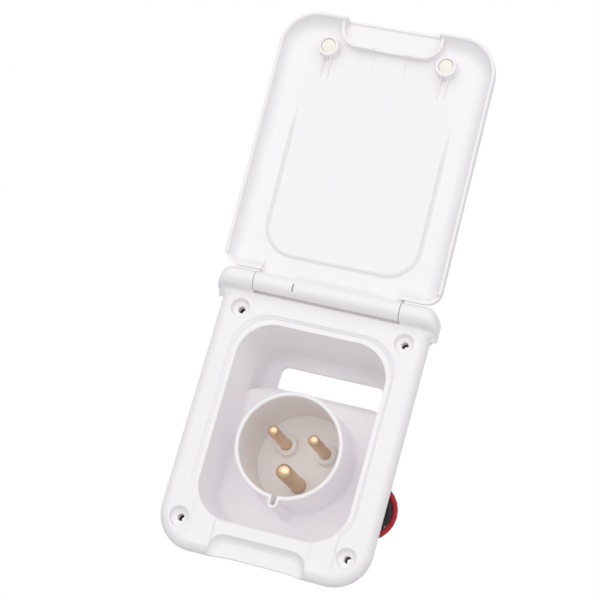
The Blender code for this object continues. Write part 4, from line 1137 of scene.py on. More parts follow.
    def add_bosses(self, plate: Piece) -> None:
        """Screw bosses, stiffening ribs and the block behind the scoop, inside the back pocket."""
        front = DATUM.face_y + self.wall * 0.5
        back = DATUM.face_back
        boss = plug(self.recess_radius + self.boss_wall, front, back)
        join(plate, turned_set("screw_bosses", boss, DATUM.holes, 40))
        half = self.width / 2 - self.wall / 2
        reach = self.opening_width / 2
        thin = self.rib / 2
        ribs = []
        for z in (-DATUM.hole_pitch_z * self.rib_share_z, 0.0, DATUM.hole_pitch_z * self.rib_share_z):
            for side in (-1, 1):
                near, far = sorted((side * reach, side * half))
                ribs.append(((near, front, z - thin), (far, back - thin, z + thin)))
        top = DATUM.hinge_z - DATUM.barrel_radius - 2
        for x in (-DATUM.hole_pitch_x * self.rib_share_x, DATUM.hole_pitch_x * self.rib_share_x):
            ribs.append(((x - thin, front, self.opening_high - 1), (x + thin, back - thin, top)))
        join(plate, boxes("plate_ribs", ribs))
        half = self.scoop_width / 2 + 1.2
        low = (-half, front, self.low + self.wall)
        high = (half, DATUM.face_y + self.scoop_depth + 2.0, self.opening_low - 1.0)
        join(plate, block("scoop_block", low, high))

    def add_bowl(self, plate: Piece) -> None:
        """The outside of the bowl and of its deep end."""
        wall = -self.bowl_wall
        back = self.bowl_depth + self.bowl_wall
        rings = [DATUM.at_depth(self.opening_outline(wall, self.wall * 0.5), self.wall * 0.5)]
        for inset, drop in reversed(quarter_round(2.6, 6)):
            rings.append(DATUM.at_depth(self.opening_outline(wall + inset, back - drop), back - drop))
        join(plate, loft("bowl_outside", rings))
        back = self.well_depth + self.bowl_wall
        rings = [DATUM.at_depth(self.well_back_outline(self.bowl_depth - 6, 0.3), self.bowl_depth - 6)]
        for inset, drop in reversed(quarter_round(2.5, 6)):
            rings.append(DATUM.at_depth(self.well_back_outline(back - drop, inset), back - drop))
        join(plate, loft("well_outside", rings))

    def add_cheeks(self, plate: Piece) -> None:
        """The two hinge cheeks and the flares that run from them down the plate's sides."""
        inner = DATUM.knuckle_width / 2 + self.cheek_gap
        outer = DATUM.cheek_width / 2
        start = outer - self.cheek_end
        steps = [(inner + (start - inner) * i / 12, 0.0) for i in range(12)]
        for inset, drop in quarter_round(1.0, 12):
            steps.append((outer - inset * self.cheek_end, drop * self.cheek_shrink))
        centre_y = DATUM.face_y - DATUM.hinge_rise
        back = DATUM.face_back
        top = DATUM.hinge_z - 2.5
        low = self.flare_low - self.flare_fade
        for side, name in ((-1, "left"), (1, "right")):
            rings = []
            for x, shrink in steps:
                curve = self.cheek_curve(x, shrink)
                ring = [(side * x, centre_y - out, DATUM.hinge_z + along) for along, out in curve]
                rings.append([(side * x, back, ring[0][2])] + ring + [(side * x, back, ring[-1][2] + 1.5)])
            join(plate, loft(f"cheek_{name}", rings))
            heights = [top + (low - top) * i / 36 for i in range(37)]
            join(plate, loft(f"flare_{name}", [self.flare_ring(side, z) for z in heights]))

    def cut_mouth(self, plate: Piece) -> None:
        """Hollows the bowl, its deep end and the land round its mouth."""
        rings = [DATUM.at_depth(self.opening_outline(-self.mouth_round), -1.5)]
        for inset, drop in quarter_round(1.0, 10):
            outline = self.opening_outline(-self.mouth_round * inset)
            rings.append(DATUM.at_depth(outline, self.mouth_depth * drop))
        for inset, drop in reversed(quarter_round(self.floor_fillet, 8)):
            depth = self.bowl_depth - drop
            rings.append(DATUM.at_depth(self.opening_outline(inset, self.bowl_depth), depth))
        cut(plate, loft("bowl_hollow", rings))
        depths = [self.bowl_depth - 2.0] + [self.bowl_depth + self.shoulder * i / 10 for i in range(11)]
        rings = [DATUM.at_depth(self.well_outline(d), d) for d in depths]
        for inset, drop in reversed(quarter_round(self.well_fillet, 10)):
            depth = self.well_depth - drop
            rings.append(DATUM.at_depth(self.well_outline(depth, inset), depth))
        cut(plate, loft("well_hollow", rings))
        outer = self.opening_width / 2 + self.land_width
        corner = self.opening_corner + self.land_width * 0.3
        high = self.opening_high + self.land_width + 0.4
        profile = [(-1.0, 0.75), (-0.02, 0.75)]
        profile += [(self.land_depth * i / 12, 0.7 - 1.5 * ease(i / 12)) for i in range(1, 13)]
        rings = []
        for depth, grow in profile:
            reach = outer + grow
            outline = rounded(-reach, reach, self.opening_low - grow, high + grow, corner, corner, 20)
            rings.append(DATUM.at_depth(outline, depth))
        cut(plate, loft("land", rings))

    def cut_channels(self, plate: Piece) -> None:
        """The shallow runs with sloped sides that take the lid's magnet bosses."""
        for side, name in ((-1, "left"), (1, "right")):
            outline = self.channel_outline(side, 0.8, self.channel_low - self.channel_run_out)
            rings = [DATUM.at_depth(outline, -1.0)]
            for i in range(9):
                t = i / 8
                low = self.channel_low - self.channel_run_out * (1 - t)
                grow = self.channel_slope * (1.6 - 2.8 * ease(t))
                outline = self.channel_outline(side, grow, low)
                rings.append(DATUM.at_depth(outline, ease(t) * DATUM.channel_depth))
            cut(plate, loft(f"channel_{name}", rings))

    def cut_scoop(self, plate: Piece) -> None:
        """The finger scoop in the bottom edge: a wall that curves from a crisp edge into a level floor."""
        rings = [DATUM.at_depth(self.scoop_outline(0.0), -1.0)]
        for inset, rise in quarter_round(1.0, 14):
            outline = self.scoop_outline(self.scoop_draft * 1.5 * rise)
            rings.append(DATUM.at_depth(outline, self.scoop_depth * (1 - inset)))
        cut(plate, loft("scoop", rings))

    def cut_screw_holes(self, plate: Piece) -> None:
        """Four round recesses with soft lips, each with a through hole."""
        radius, lip, deep = self.recess_radius, self.recess_lip, self.recess_depth
        profile = [(0.0, -1.0), (radius + lip, -1.0), (radius + lip, -0.01)]
        profile += [(radius + inset, drop) for inset, drop in quarter_round(lip, 5)[1:]]
        profile += [(radius, deep - 1.2), (radius - 0.35, deep - 0.35), (radius - 1.2, deep)]
        profile += [(self.hole_radius + 0.3, deep), (self.hole_radius, deep + 0.3)]
        profile += [(self.hole_radius, DATUM.plate_thickness + 1), (0.0, DATUM.plate_thickness + 1)]
        section = [(r, DATUM.face_y + d) for r, d in profile]
        cut(plate, turned_set("screw_holes", section, DATUM.holes, 56))

    def add_tube(self, plate: Piece) -> None:
        """The inlet's round tube with its keyway, filleted to the bowl's floor and open at both ends."""
        fillet = self.tube_fillet
        outer = DATUM.tube_bore + self.tube_wall
        edge = self.tube_edge
        profile = [(self.tube_rim + drop, -inset) for inset, drop in quarter_round(edge, 6)]
        profile += [(self.bowl_depth - drop, inset) for inset, drop in quarter_round(fillet, 8)[::-1]]
        middle = self.bowl_depth + self.bowl_wall * 0.5
        profile += [(middle - 0.2, fillet), (middle, 0.0), (self.tube_end, 0.0)]
        rings = []
        for depth, grow in profile:
            outline = self.keyed_circle(outer + grow, self.key_width / 2 + grow, self.key_reach + grow)
            rings.append(DATUM.at_depth(outline, depth))
        join(plate, loft("tube_outside", rings))
        rings = []
        profile = [(self.tube_rim - 1, edge)]
        profile += [(self.tube_rim + drop, inset) for inset, drop in quarter_round(edge, 6)]
        profile += [(self.tube_end + 1, 0.0)]
        for depth, grow in profile:
            flare = grow * 0.6
            reach = self.key_reach - (self.key_width - self.key_slot) / 2 + flare
            outline = self.keyed_circle(DATUM.tube_bore + grow, self.key_slot / 2 + flare, reach)
            rings.append(DATUM.at_depth(outline, depth))
        cut(plate, loft("tube_bore", rings))

    def add_posts(self, plate: Piece) -> None:
        """Posts behind the pedestal for the carrier's screws and the cord clamp, and the clamp's saddle."""
        foot = DATUM.face_y + self.bowl_depth + self.bowl_wall * 0.5
        post = plug(self.carrier_post, foot, DATUM.face_y + self.tube_end)
        join(plate, turned_set("carrier_posts", post, self.ear_places(), 40))
        post = plug(self.post_radius, foot, DATUM.face_y + (DATUM.lead_depth + DATUM.lead_diameter / 2))
        join(plate, turned_set("clamp_posts", post, self.clamp_places(), 40))
        upper, lower = self.clamp_places()
        low = (DATUM.clamp_x - self.saddle / 2, foot, lower[1])
        top = DATUM.face_y + DATUM.lead_depth - DATUM.lead_diameter / 2 - DATUM.clear
        join(plate, block("clamp_saddle", low, (DATUM.clamp_x + self.saddle / 2, top, upper[1])))

    def cut_hinge(self, plate: Piece) -> None:
        """The trough under the lid's knuckle and the holes for the hinge pins."""
        y, z = DATUM.face_y - DATUM.hinge_rise, DATUM.hinge_z
        half = DATUM.knuckle_width / 2 + self.cheek_gap
        cut(plate, bar("trough", DATUM.barrel_radius + self.barrel_gap, (-half, y, z), (half, y, z), 96))
        radius = DATUM.hinge_pin_radius + DATUM.clear
        for side, name in ((-1, "left"), (1, "right")):
            end = (side * (DATUM.cheek_width / 2 - self.cheek_skin), y, z)
            cut(plate, bar(f"cheek_hole_{name}", radius, (side * (half - 1), y, z), end, 32))

    def build(self, finishes: Finishes) -> None:
        """Makes the whole moulding in the order in which its forms meet.

        Args:
            finishes: The inlet's finishes.
        """
        plate = self.shell()
        for step in (self.add_bosses, self.add_bowl, self.add_cheeks, self.cut_mouth, self.cut_channels):
            step(plate)
        for step in (self.cut_scoop, self.cut_screw_holes, self.add_tube, self.add_posts):
            step(plate)
        half = self.window_width / 2
        outline = rounded(-half, half, self.window_low, self.window_high, 2.0, 3.5, 10)
        ends = (self.well_depth - 4, self.well_depth + self.bowl_wall + 1)
        cut(plate, loft("window", [DATUM.at_depth(outline, d) for d in ends]))
        self.cut_hinge(plate)
        soften(plate)
        dress(plate, finishes.white, Body.HOUSING, ["housing"])


@dataclass
class Lid:
    """The one-piece lid, drawn closed about its hinge axis and swung open."""

    width: float = 99.2
    length: float = 124.87
    rim_drop: float = 4.2
    wall: float = 1.4
    skin: float = 2.2
    corner: float = 17.0
    edge: float = 4.0
    fillet: float = 6.0
    root: float = 5.0
    root_corner: float = 6.8
    lip: float = 0.9
    lip_width: float = 1.2
    landing: float = 5.3
    notch: float = 43.0
    rib_width: float = 70.4
    rib_low: float = 14.3
    rib_corner: float = 14.5
    rib_full: float = 67.3
    rib_end: float = 86.3
    rib_height: float = 1.4
    rib_base: float = 3.8
    rib_crest: float = 0.34
    magnet_x: float = 27.2
    magnet_u: float = 110.3
    magnet_radius: float = 3.2
    magnet_thickness: float = 2.5
    magnet_recess: float = 0.4
    magnet_boss: float = 4.7
    gusset_span: float = 3.2
    gusset: float = 0.6
    gusset_height: float = 2.4
    latch_gusset_height: float = 0.9
    gusset_reach: float = 14.0
    finger_width: float = 45.8
    finger_span: float = 12.1
    finger_corner: float = 8.0
    finger_wall: float = 1.4
    latch_x: float = 0.8
    latch_width: float = 14.4
    latch_reach: float = 9.0
    slit_x: float = 15.1
    slit_width: float = 0.7
    slit_low: float = -1.5
    slit_high: float = 2.0
    knuckle_fillet: float = 5.0
    knuckle_root: float = 1.5
    fillet_fade: float = 12.0
    pin_in: float = 17.7
    root_relief: float = 4.8
    rim_gap: float = 1.4
    rim_gap_reach: float = 8.6

    @property
    def floor(self) -> float:
        """Height of the lid's inner face over the hinge axis."""
        return DATUM.barrel_radius - self.skin

    @property
    def magnet_places(self) -> list[Point2]:
        """Centres of the two magnets on the closed lid, the left one first."""
        return [(side * self.magnet_x, -self.magnet_u) for side in (-1, 1)]

    @property
    def boss_top(self) -> float:
        """Height of the magnet bosses' ends over the hinge axis."""
        return -DATUM.hinge_rise - DATUM.channel_depth + DATUM.clear + 0.1

    def outline(self, inset: float) -> Outline:
        """The lid's edge as (x, -u) with u measured from the hinge axis, moved in by inset."""
        half = self.width / 2 - inset
        end = self.length - inset
        corner = self.corner - inset
        root = self.root + inset
        r = max(self.root_corner - inset, 0.8)
        points = arc((-half + corner, -end + corner), corner, 180, 270, 20)
        points += arc((half - corner, -end + corner), corner, 270, 360, 20)
        points += arc((half - r, -root - r), r, 0, 90, 10)
        points += arc((-half + r, -root - r), r, 90, 180, 10)
        return points

    @staticmethod
    def ring(outline: Outline, height: float) -> Ring:
        """A ring of the closed lid, height over the hinge axis, with the axis as origin."""
        return [(x, -height, z) for x, z in outline]

    def shell(self) -> Piece:
        """The dished lid: rounded outer edge, thin rim, and an inside that curves up to it."""
        rings = []
        for inset, drop in quarter_round(self.edge, 12):
            rings.append(self.ring(self.outline(inset), DATUM.barrel_radius - drop))
        rim = -self.rim_drop
        half = self.wall / 2
        for i in range(7):
            a = math.pi * i / 6
            inset = half - half * math.cos(a)
            rings.append(self.ring(self.outline(inset + 0.01 * i), rim + half * 0.7 * (1 - math.sin(a))))
        fillet = min(self.fillet, self.floor - rim - 0.7)
        for i in range(12):
            a = math.pi / 2 * i / 11
            inset = self.wall + 0.1 + fillet * 1.15 * (1 - math.cos(a))
            rings.append(self.ring(self.outline(inset), self.floor - fillet + fillet * math.sin(a)))
        return loft("lid_moulding", rings)

    def finger_curve(self, inset: float) -> Outline:
        """The arched wall round the finger recess, from its left end to its right."""
        half = self.finger_width / 2 - inset
        end = self.length - self.wall - 0.2
        top = self.length - self.finger_span + inset
        corner = self.finger_corner - inset
        points = [(-half, -end)]
        points += arc((-half + corner, -top - corner), corner, 180, 90, 18)
        points += arc((half - corner, -top - corner), corner, 90, 0, 18)
        points.append((half, -end))
        return points

    def add_walls(self, lid: Piece) -> None:
        """The finger recess's wall, the magnet bosses and the thin gussets."""
        base = self.floor + 0.6
        wall = self.finger_wall / 2
        rings = []
        for height, thin in ((base, 0.0), (0.55 - DATUM.hinge_rise, 0.0), (0.4 - DATUM.hinge_rise, 0.15)):
            outline = self.finger_curve(-wall + thin) + self.finger_curve(wall - thin)[::-1]
            rings.append(self.ring(outline, height))
        join(lid, loft("finger_wall", rings))
        top, radius = self.boss_top, self.magnet_boss
        profile = [(0.0, -base), (radius + 0.8, -base), (radius + 0.25, -base + 1.2), (radius, -base + 2.0)]
        profile += [(radius, -top - 0.3), (radius - 0.1, -top - 0.1), (radius - 0.3, -top), (0.0, -top)]
        join(lid, turned_set("magnet_bosses", profile, self.magnet_places, 56))
        near = -(self.magnet_u - self.magnet_boss + 0.8)
        far = -(self.magnet_u - self.gusset_reach)
        spots = [x + offset * self.gusset_span / 2 for x, _ in self.magnet_places for offset in (-1, 1)]
        self.add_gussets(lid, "magnet_gussets", spots, (near, far), self.gusset_height)
        latch = -(self.length - self.finger_span)
        half = self.latch_width / 2
        low = (self.latch_x - half, DATUM.hinge_rise - DATUM.clear - 1.1, latch - self.finger_wall)
        high = (self.latch_x + half, DATUM.hinge_rise + 1, latch + self.finger_wall)
        cut(lid, block("latch_notch", low, high))
        spots = [self.latch_x + side * (self.latch_width + self.gusset) / 2 for side in (-1, 1)]
        run = (latch + 0.3, latch + self.latch_reach)
        self.add_gussets(lid, "latch_gussets", spots, run, self.latch_gusset_height)

    def add_gussets(self, lid: Piece, name: str, spots: Sequence[float], run: Point2, height: float) -> None:
        """Thin gussets on the lid's floor, highest at their near end and running out at their far end.

        Args:
            lid: The lid.
            name: The gussets' name.
            spots: Each gusset's middle.
            run: Their near and far ends.
            height: How far the near end stands over the floor.
        """
        half = self.gusset / 2
        base = -self.floor - 0.6
        near, far = run
        points = [(base, near), (height - self.floor, near), (0.25 - self.floor, far), (base, far)]
        bm = bmesh.new()
        for x in spots:
            loft_into(bm, [[(x + s * half, y, z) for y, z in points] for s in (-1, 1)])
        join(lid, closed_mesh(name, bm))

    def rib_path(self) -> list[Point3]:
        """The U-shaped rib's centre line as (x, -u, share of its height)."""
        half = self.rib_width / 2
        turn = self.rib_low + self.rib_corner
        arm = [(half, -(self.rib_end + (turn - self.rib_end) * i / 26)) for i in range(26)]
        path = [(-x, z) for x, z in arm] + arc((-half + self.rib_corner, -turn), self.rib_corner, 180, 90, 24)
        path += arc((half - self.rib_corner, -turn), self.rib_corner, 90, 0, 24) + arm[::-1]
        span = self.rib_end - self.rib_full
        return [(x, z, 1 - ease((-z - self.rib_full) / span)) for x, z in path]

    def add_rib(self, lid: Piece) -> None:
        """Sweeps the rib's section, a narrow crest on a wide filleted base, along its path."""
        path = self.rib_path()
        offsets = [i / 14 * 2 - 1 for i in range(15)]
        sections = [(t * 0.5, math.exp(-((t / self.rib_crest) ** 2))) for t in offsets]
        foot = -self.floor - 0.8
        rings = []
        for i, (x, z, share) in enumerate(path):
            before, after = path[max(i - 1, 0)], path[min(i + 1, len(path) - 1)]
            along = Vector((after[0] - before[0], after[1] - before[1])).normalized()
            across = Vector((along.y, -along.x))
            base = self.rib_base * (0.35 + 0.65 * share)
            tall = max(share * self.rib_height, 0.1)
            side = across * base / 2
            ring = [(x - side.x, foot, z - side.y)]
            for offset, up in sections:
                reach = offset * base
                ring.append((x + across.x * reach, -self.floor - 0.02 + tall * up, z + across.y * reach))
            ring.append((x + side.x, foot, z + side.y))
            rings.append(ring)
        join(lid, loft("lid_rib", rings))

    def knuckle_section(self, fillet: float) -> Outline:
        """The fillet between the lid's floor and its knuckle, as (y, z) points about the hinge axis."""
        reach = math.sqrt((DATUM.barrel_radius + fillet) ** 2 - (fillet - self.floor) ** 2)
        lean = math.degrees(math.atan2(fillet - self.floor, reach))
        curve = arc((reach, self.floor - fillet), fillet, 180 - lean, 90, 18)
        points = [(0.3, self.floor + 0.4), (0.3, -1.0)] + curve + [(reach, self.floor + 0.4)]
        return [(-h, -u) for u, h in points]

    def add_knuckle(self, lid: Piece) -> None:
        """The hinge barrel, its web and fillets, the bores for the pins and the thin slit."""
        half = DATUM.knuckle_width / 2
        radius = DATUM.barrel_radius
        join(lid, bar("knuckle", radius - 0.02, (-half, 0, 0), (half, 0, 0), 96))
        low = (-half + 0.1, -radius + 0.06, -self.root - 4.0)
        join(lid, block("knuckle_web", low, (half - 0.1, -self.floor - 0.06, -0.5)))
        reach = self.slit_x + self.slit_width
        places = [(-reach, 0.0)] + [(reach + self.fillet_fade * i / 12, ease(i / 12)) for i in range(13)]
        rings = []
        for x, share in places:
            web = self.knuckle_section(self.knuckle_fillet * (1 - 0.68 * share))
            rings.append([(x, y, z) for y, z in web])
        join(lid, loft("knuckle_fillet", rings))
        web = self.knuckle_section(self.knuckle_root)
        join(lid, loft("knuckle_root", [[(x, y, z) for y, z in web] for x in (-half + 0.2, half - 0.2)]))
        top = DATUM.hinge_rise - DATUM.clear - 0.05
        relief = []
        for side in (-1, 1):
            near, far = sorted((side * (half - 1.6), side * (self.width / 2 + 1)))
            low = (near, top, -self.root - self.root_relief)
            relief.append((low, (far, self.rim_drop + 1, -self.root + 1)))
        cut(lid, boxes("root_relief", relief))
        bore = DATUM.hinge_pin_radius + DATUM.clear
        for side, name in ((-1, "left"), (1, "right")):
            cut(lid, bar(f"pin_bore_{name}", bore, (side * self.pin_in, 0, 0), (side * (half + 1), 0, 0), 32))
        low = (-self.slit_x - self.slit_width / 2, 0.5, self.slit_low)
        cut(lid, block("knuckle_slit", low, (-self.slit_x + self.slit_width / 2, radius + 1, self.slit_high)))

    def build(self, finishes: Finishes) -> None:
        """Makes the lid and its two magnets.

        Args:
            finishes: The inlet's finishes.
        """
        lid = self.shell()
        half = DATUM.knuckle_width / 2 - self.rim_gap
        low = (-half, -self.floor + 0.06, -self.root - self.rim_gap_reach)
        cut(lid, block("rim_gap", low, (half, self.rim_drop + 1, -self.root + 1)))
        self.add_walls(lid)
        self.add_rib(lid)
        notch = self.notch / 2
        edge = -self.length + self.lip_width
        low = (-notch, -self.floor + self.lip, -self.length - 1)
        cut(lid, block("finger_notch", low, (notch, self.rim_drop + 1, edge)))
        low = (0.2 - notch, -self.floor, edge - 0.01)
        cut(lid, block("finger_landing", low, (notch - 0.2, self.rim_drop + 1, edge + self.landing)))
        self.add_knuckle(lid)
        pocket = self.boss_top + self.magnet_recess + self.magnet_thickness + DATUM.clear
        hollow = plug(self.magnet_radius + DATUM.fit, -pocket, -self.boss_top + 1)
        cut(lid, turned_set("magnet_pockets", hollow, self.magnet_places, 56))
        soften(lid, 0.22)
        self.swing(lid)
        dress(lid, finishes.white, Body.LID, ["lid"])
        self.build_magnets(finishes)

    def swing(self, piece: Piece) -> None:
        """Turns a piece drawn about the hinge axis into its open place.

        Args:
            piece: The piece, whose mesh is moved.
        """
        turn = Matrix.Translation(DATUM.hinge) @ Matrix.Rotation(-math.radians(DATUM.lid_open), 4, "X")
        piece.data.transform(turn)
        piece.data.update()

    def build_magnets(self, finishes: Finishes) -> None:
        """Two coated disc magnets in the lid's bosses.

        Args:
            finishes: The inlet's finishes.
        """
        top = self.boss_top + self.magnet_recess
        floor = top + self.magnet_thickness
        radius = self.magnet_radius
        profile = [(0.0, -floor), (radius, -floor), (radius, -top - 0.35)]
        profile += [(radius - 0.1, -top - 0.12), (radius - 0.35, -top), (0.0, -top)]
        for place, name in zip(self.magnet_places, ("left", "right")):
            magnet = turned_set(f"disc_magnet_{name}", profile, [place], 64)
            smooth(magnet)
            self.swing(magnet)
            dress(magnet, finishes.cream, Body.LID, [f"magnet_{name}"])


@dataclass
class Contacts:
    """The insulating carrier and the three contact pins that it holds."""

    collar_radius: float = 26.0
    boss_radius: float = 4.9
    boss_height: float = 5.0
    tip_depth: float = 4.7
    nose: float = 0.75
    wire_run: Point2 = (-1.8, 6.0)
    radii: dict[str, float] = field(default_factory=lambda: {"line": 2.5, "neutral": 2.5, "earth": 3.5})
    terminal_radius: float = 3.6
    terminal_reach: float = 7.3
    ear_radius: float = 4.2
    angles: dict[str, float] = field(default_factory=lambda: {"line": 30.0, "neutral": 150.0, "earth": 270.0})
    exits: dict[str, float] = field(default_factory=lambda: {"line": 0.0, "neutral": -45.0, "earth": 0.0})

    def places(self) -> list[tuple[str, float, float, float]]:
        """Name, x, z and radius of each pin."""
        found = []
        for name, angle in self.angles.items():
            a = math.radians(angle)
            x, z = DATUM.pin_circle * math.cos(a), DATUM.tube_z + DATUM.pin_circle * math.sin(a)
            found.append((name, x, z, self.radii[name]))
        return found

    def build_carrier(self, housing: Housing, finishes: Finishes) -> None:
        """The disc that closes the tube, with its rear collar, ears and pin bosses.

        Args:
            housing: The moulding whose posts carry it.
            finishes: The inlet's finishes.
        """
        radius = DATUM.tube_bore - 0.06
        front = DATUM.face_y + DATUM.carrier_depth
        collar = DATUM.face_y + DATUM.collar_depth
        back = collar + DATUM.collar_thickness
        rim = self.collar_radius
        profile = [(0, front), (radius - 0.1, front), (radius, front + 0.1), (radius, collar), (rim, collar)]
        profile += [(rim, back - 0.4), (rim - 0.4, back), (0, back)]
        carrier = turned_set("contact_carrier", profile, [(0, DATUM.tube_z)], 128)
        ear = plug(self.ear_radius, collar + 0.05, back - 0.05)
        join(carrier, turned_set("carrier_ears", ear, housing.ear_places(), 48))
        top = front - self.boss_height
        rim = self.boss_radius
        profile = [(0, top), (rim - 0.6, top), (rim - 0.18, top + 0.18), (rim, top + 0.6)]
        profile += [(rim, front - 0.6), (rim + 0.18, front - 0.15), (rim + 0.6, front + 0.02)]
        profile += [(rim + 0.6, front + 1), (0, front + 1)]
        bossed = [(x, z) for name, x, z, _ in self.places() if name != "earth"]
        join(carrier, turned_set("pin_bosses", profile, bossed, 64))
        bm = bmesh.new()
        for _, x, z, pin in self.places():
            turned_into(bm, plug(pin + DATUM.fit, top - 1, back + 1), (x, z), 56)
        cut(carrier, closed_mesh("carrier_holes", bm))
        soften(carrier, 0.2)
        dress(carrier, finishes.shroud, Body.HOUSING, ["pin_carrier"])

    def build_pins(self, finishes: Finishes) -> None:
        """Round-nosed pins, each with its terminal barrel behind the carrier.

        Args:
            finishes: The inlet's finishes.
        """
        tip = DATUM.face_y + self.tip_depth
        seat = DATUM.face_y + DATUM.collar_depth + DATUM.collar_thickness + DATUM.clear
        mouth = DATUM.face_y + DATUM.lead_depth
        end = mouth + self.terminal_reach
        barrel = self.terminal_radius
        for name, x, z, radius in self.places():
            profile = [(0.0, tip)]
            for i in range(1, 13):
                a = math.pi / 2 * i / 12
                profile.append((radius * math.sin(a), tip + radius * self.nose * (1 - math.cos(a))))
            profile += [(radius, seat), (barrel - 0.2, seat), (barrel, seat + 0.2)]
            profile += [(barrel, end - 0.4), (barrel - 0.4, end), (0.0, end)]
            pin = turned_set(f"contact_{name}", profile, [(x, z)], 64)
            bore = plug(DATUM.screw_radius + 0.1, mouth, end + 1)
            cut(pin, turned_set(f"screw_bore_{name}", bore, [(x, z)], 32))
            a = math.radians(self.exits[name])
            near, far = [(x + run * math.cos(a), mouth, z + run * math.sin(a)) for run in self.wire_run]
            cut(pin, bar(f"wire_hole_{name}", DATUM.lead_diameter / 2 + 0.15, near, far, 40))
            soften(pin, SMALL_EDGE, angle=SMALL_EDGE_ANGLE)
            dress(pin, finishes.brass, Body.HOUSING, [f"pin_{name}"])


@dataclass
class Fasteners:
    """Pan-head screws behind the pedestal, laid out by a geometry tree."""

    head_radius: float = 2.5
    head_height: float = 1.8
    head_taper: float = 0.72
    shank: float = 8.0
    slot_width: float = 0.64
    slot_reach: float = 1.15
    slot_deep: float = 1.1
    clamp_thickness: float = 2.6
    smooth_angle: float = 35.0

    def tree(self, material: Material) -> NodeTree:
        """A tree that sets one screw on each point it is given.

        Args:
            material: The screws' finish.

        Returns:
            The tree, with Head Radius, Head Height, Shank Radius, Shank Length and Slot Width as inputs.
        """
        group = bpy.data.node_groups.new("pan_head_screws", "GeometryNodeTree")
        group.interface.new_socket(name="Places", in_out="INPUT", socket_type="NodeSocketGeometry")
        sizes = {
            "Head Radius": self.head_radius,
            "Head Height": self.head_height,
            "Shank Radius": DATUM.screw_radius,
            "Shank Length": self.shank,
            "Slot Width": self.slot_width,
        }
        for label, value in sizes.items():
            socket = group.interface.new_socket(name=label, in_out="INPUT", socket_type="NodeSocketFloat")
            socket.default_value = value * MM
        group.interface.new_socket(name="Screws", in_out="OUTPUT", socket_type="NodeSocketGeometry")
        tree = Tree(group)
        start = tree.add("NodeGroupInput")
        size = start.outputs
        head = tree.add("GeometryNodeMeshCone", inputs={"Vertices": 40, "Side Segments": 6})
        shrink = tree.scaled(size["Head Radius"], self.head_taper)
        tree.link(size["Head Radius"], head.inputs["Radius Bottom"])
        tree.link(shrink, head.inputs["Radius Top"])
        tree.link(size["Head Height"], head.inputs["Depth"])
        shank = tree.add("GeometryNodeMeshCylinder", inputs={"Vertices": 24})
        tree.link(size["Shank Radius"], shank.inputs["Radius"])
        tree.link(size["Shank Length"], shank.inputs["Depth"])
        drop = tree.add("ShaderNodeCombineXYZ")
        tree.link(tree.scaled(size["Shank Length"], -0.5), drop.inputs["Z"])
        lower = tree.add("GeometryNodeTransform")
        tree.link(shank.outputs["Mesh"], lower.inputs["Geometry"])
        tree.link(drop.outputs["Vector"], lower.inputs["Translation"])
        both = tree.add("GeometryNodeMeshBoolean", operation="UNION")
        tree.link(head.outputs["Mesh"], both.inputs["Mesh 2"])
        tree.link(lower.outputs["Geometry"], both.inputs["Mesh 2"])
        carve = tree.add("GeometryNodeMeshBoolean", operation="DIFFERENCE")
        tree.link(both.outputs["Mesh"], carve.inputs["Mesh 1"])
        for turn in (0.0, math.pi / 2):
            tree.link(self.blade(tree, size["Slot Width"], turn), carve.inputs["Mesh 2"])
        spread = tree.add("GeometryNodeInstanceOnPoints")
        spread.inputs["Rotation"].default_value = (-math.pi / 2, 0, 0)
        real = tree.add("GeometryNodeRealizeInstances")
        coat = tree.add("GeometryNodeSetMaterial")
        coat.inputs["Material"].default_value = material
        end = tree.add("NodeGroupOutput")
        tree.link(size["Places"], spread.inputs["Points"])
        tree.link(carve.outputs["Mesh"], spread.inputs["Instance"])
        tree.link(spread.outputs["Instances"], real.inputs["Geometry"])
        tree.link(real.outputs["Geometry"], coat.inputs["Geometry"])
        tree.link(coat.outputs["Geometry"], end.inputs["Screws"])
        return group

    def blade(self, tree: Tree, width: Socket, turn: float) -> Socket:
        """One arm of the cross slot's cutter, at the head's top.

        Args:
            tree: The screws' tree helper.
            width: The slot's width.
            turn: The arm's turn about the screw's axis.

        Returns:
            The cutter's geometry.
        """
        arm = tree.add("GeometryNodeMeshCube")
        size = tree.add("ShaderNodeCombineXYZ")
        size.inputs["X"].default_value = self.head_radius * self.slot_reach * MM
        size.inputs["Z"].default_value = self.head_height * self.slot_deep * MM
        tree.link(width, size.inputs["Y"])
        tree.link(size.outputs["Vector"], arm.inputs["Size"])
        move = tree.add("GeometryNodeTransform")
        move.inputs["Translation"].default_value = (0, 0, self.head_height * MM)
        move.inputs["Rotation"].default_value = (0, 0, turn)
        tree.link(arm.outputs["Mesh"], move.inputs["Geometry"])
        return move.outputs["Geometry"]

    def lay(self, name: str, places: Sequence[Point3], shank: float, tree: NodeTree) -> Piece:
        """Sets screws on points and turns the result into a plain mesh.

        Args:
            name: The object's name.
            places: Where the heads sit, in millimetres.
            shank: Length of the shank in millimetres.
            tree: The screws' tree.

        Returns:
            The object.
        """
        mesh = bpy.data.meshes.new(name)
        mesh.from_pydata([tuple(v * MM for v in p) for p in places], [], [])
        made = linked(name, mesh)
        modifier = made.modifiers.new("screws", "NODES")
        modifier.node_group = tree
        for item in tree.interface.items_tree:
            if item.name == "Shank Length":
                modifier[item.identifier] = shank * MM
        return settle(made)

